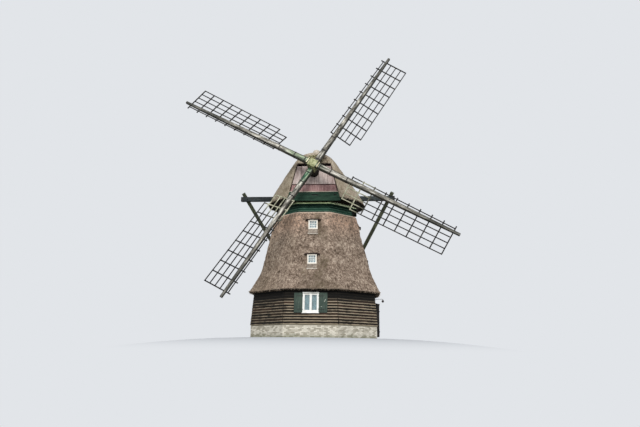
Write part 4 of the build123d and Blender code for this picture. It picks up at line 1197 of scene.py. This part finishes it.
def make_rotor():
    """Iron bands and bolts on the stocks, and wedges in the poll end."""
    bands, wedges = Solids(61), Solids(62)
    for angle, offset in ((REST_ANGLE, -STOCK_OFFSET), (REST_ANGLE + 90, STOCK_OFFSET)):
        radial, centre = sail_axes(angle)[0], HUB + SHAFT_OUT * offset
        for s in (-1, 1):
            for r in (0.62, 1.45, 2.72):
                size = stock_size(max(r, TAPER_START)) + 0.026
                place = centre + radial * (s * r)
                bands.beam(place - radial * 0.035, place + radial * 0.035, size, size, up=SHAFT_OUT)
            for r in np.arange(3.42, 10.4, 0.839):
                bolt = centre + radial * (s * r) + SHAFT_OUT * (stock_size(r) / 2 - 0.002)
                bands.rod(bolt, bolt + SHAFT_OUT * 0.022, 0.024, 8, 0.016)
    radial, across = sail_axes(REST_ANGLE)[0], sail_axes(REST_ANGLE + 90)[0]
    front = HUB + SHAFT_OUT * (STOCK_OFFSET + STOCK_ROOT / 2)
    for shift in (-0.375, 0.44):
        middle = front + across * shift + SHAFT_OUT * 0.035
        wedges.beam(middle - radial * 0.22, middle + radial * 0.23, 0.085, 0.085, SHAFT_OUT, (0.052, 0.06))
    bands.make("stock_bands", "rotor", "iron", "stock_timber", bevel=0.004)
    wedges.make("poll_wedges", "rotor", "wedge", "stock_timber", bevel=0.006)


def make_gear():
    """Iron straps on the spreaders' ends and bolts where the braces cross them."""
    straps, z = Solids(64), SPREADER_HEIGHT
    for half, y in ((5.8, 0.45), (2.8, 2.60)):
        for s in (-1, 1):
            for x in (s * (half - 0.12), s * (half - 0.86)):
                straps.beam((x - 0.03, y, z), (x + 0.03, y, z), 0.334, 0.334)
            x = s * (half - 0.5)
            straps.rod((x, y - 0.205, z), (x, y + 0.18, z), 0.035, 10)
    straps.make("gear_straps", "cap", "iron", "tail_timber", bevel=0.004)


# Stage, lights and camera.

def seen_rays(tree):
    """1 for rays that the camera sees directly, in gloss or through glass."""
    seen, *others = (add_node(tree, "LightPath", output=label)
                     for label in ("Is Camera Ray", "Is Glossy Ray", "Is Transmission Ray"))
    for other in others:
        seen = add_node(tree, "Math", {0: seen, 1: other}, operation="MAXIMUM")
    return seen


def make_stage():
    """A pale floor that falls away smoothly and fades into the backdrop."""
    look = Look("pale_floor", rough=0.9)
    radius = look.node("VectorMath", {0: look.place}, output=1, operation="LENGTH")
    seen = seen_rays(look.tree)
    colour = look.ramp(look.noise(0.6, detail=4), (0.3, (180, 182, 185)), (0.7, (185, 188, 191)))
    look.paint(look.cover((112, 112, 104), colour, seen))
    glow = look.node("Emission", {"Color": rgb(BACKDROP), "Strength": 1.0})
    far = look.times(look.band(radius, 6.0, 15.0), seen)
    mixed = look.node("MixShader", {0: far, 1: look.shader.outputs[0], 2: glow})
    look.tree.links.new(mixed, look.tree.nodes["Material Output"].inputs["Surface"])
    rings, steps = [2.0, 4.7, 6, 7.5, 9, 11, 13, 15, 17.5, 20, 23, 26, 30, 36, 50, 80, 130], 64
    flat, slope, depth = 4.7, 25.3, 2.3
    points = []
    for r in rings:
        t = min(1.0, max(0.0, (r - flat) / slope))
        points += [(x, y, -depth * t * t * (3 - 2 * t) - 0.002) for x, y in circle(r, steps)]
    faces = ring_faces(len(rings) - 1, steps) + [tuple(range(steps))]
    add_object("studio_floor", points, faces, look, True)


def make_light():
    world = bpy.data.worlds.new("soft_sky")
    world.use_nodes = True
    tree = world.node_tree
    tree.nodes.clear()
    soft, pale = (add_node(tree, "Background", {"Color": rgb(colour), "Strength": strength})
                  for colour, strength in (((238, 243, 250), 0.82), (BACKDROP, 1.0)))
    mixed = add_node(tree, "MixShader", {0: seen_rays(tree), 1: soft, 2: pale})
    tree.links.new(mixed, tree.nodes.new("ShaderNodeOutputWorld").inputs["Surface"])
    bpy.context.scene.world = world
    sun = bpy.data.lights.new("soft_sun", "SUN")
    sun.energy = 2.4
    sun.angle = radians(28)
    sun.color = (1.0, 0.98, 0.95)
    lamp = link_object("soft_sun", sun)
    lamp.rotation_euler = Vector((0.08, -0.90, 0.54)).to_track_quat("Z", "Y").to_euler()


def make_camera():
    """The photograph's viewpoint, solved from the sail tips, the eave and the spreader."""
    place, heading, pitch, roll = (3.352, -43.37, -0.7), 4.1, 12.71, 0.6
    data = bpy.data.cameras.new("camera")
    data.lens = 33.75
    data.sensor_width = 36
    data.clip_end = 400
    camera = link_object("camera", data)
    turn = Matrix.Rotation(radians(heading), 4, "Z")
    turn = turn @ Matrix.Rotation(radians(90 + pitch), 4, "X") @ Matrix.Rotation(radians(roll), 4, "Z")
    camera.matrix_world = Matrix.Translation(place) @ turn
    bpy.context.scene.camera = camera
    bpy.context.scene.view_settings.view_transform = "Standard"


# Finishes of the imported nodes: look, softened edge where they are beams, and the nodes.
FINISHES = (
    ("masonry", 0, "plinth_sides", "plinth_corners"),
    ("wall_core", 0, "main_walls", "walls_beside_door", "wall_over_door", "corner_walls"),
    ("shutter", 0.004, "shutters"),
    ("white", 0.004, "base_window_frames"),
    ("glass", 0, "window_glass"),
    ("small_frame", 0.004, "small_window_frames"),
    ("door", 0.004, "door_leaf"),
    ("door_frame", 0.004, "door_jambs", "door_head"),
    ("iron", 0, "door_pins", "door_fittings"),
    ("fascia", 0, "neck_drum"),
    ("drip", 0, "drip_skirt"),
    ("inner_stock", 0.012, "inner_stock"),
    ("outer_stock", 0.012, "outer_stock"),
    ("poll", 0.015, "poll_end"),
    ("shaft", 0, "windshaft"),
    ("lattice", 0.005, "sail_lattice_a", "sail_lattice_b", "sail_lattice_c", "sail_lattice_d"),
    ("beam", 0.014, "spreaders"),
    ("brace", 0.010, "braces", "tail_pole", "winch"),
    # Framing under the cap, in the near-black look that is painted shade.
    ("frame", 0, "curb", "cap_ring", "cap_soffit", "sheers", "shaft_beams"),
    ("floor", 0, "ground_floor", "upper_floors"),
)


def dress_nodes():
    for look, bevel, *names in FINISHES:
        for piece in (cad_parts[name] for name in names):
            piece.data.materials.clear()
            piece.data.materials.append(LOOKS[look].material)
            if bevel:
                add_bevel(piece, bevel)


for make in (make_camera, make_light, make_stage, make_smock, make_cap, make_roll, make_ridge, make_plinth,
             make_base_boards, make_base_windows, make_small_windows, make_curtains, make_door, make_neck,
             make_breast, make_fascia, make_rotor, make_gear, dress_nodes):
    make()

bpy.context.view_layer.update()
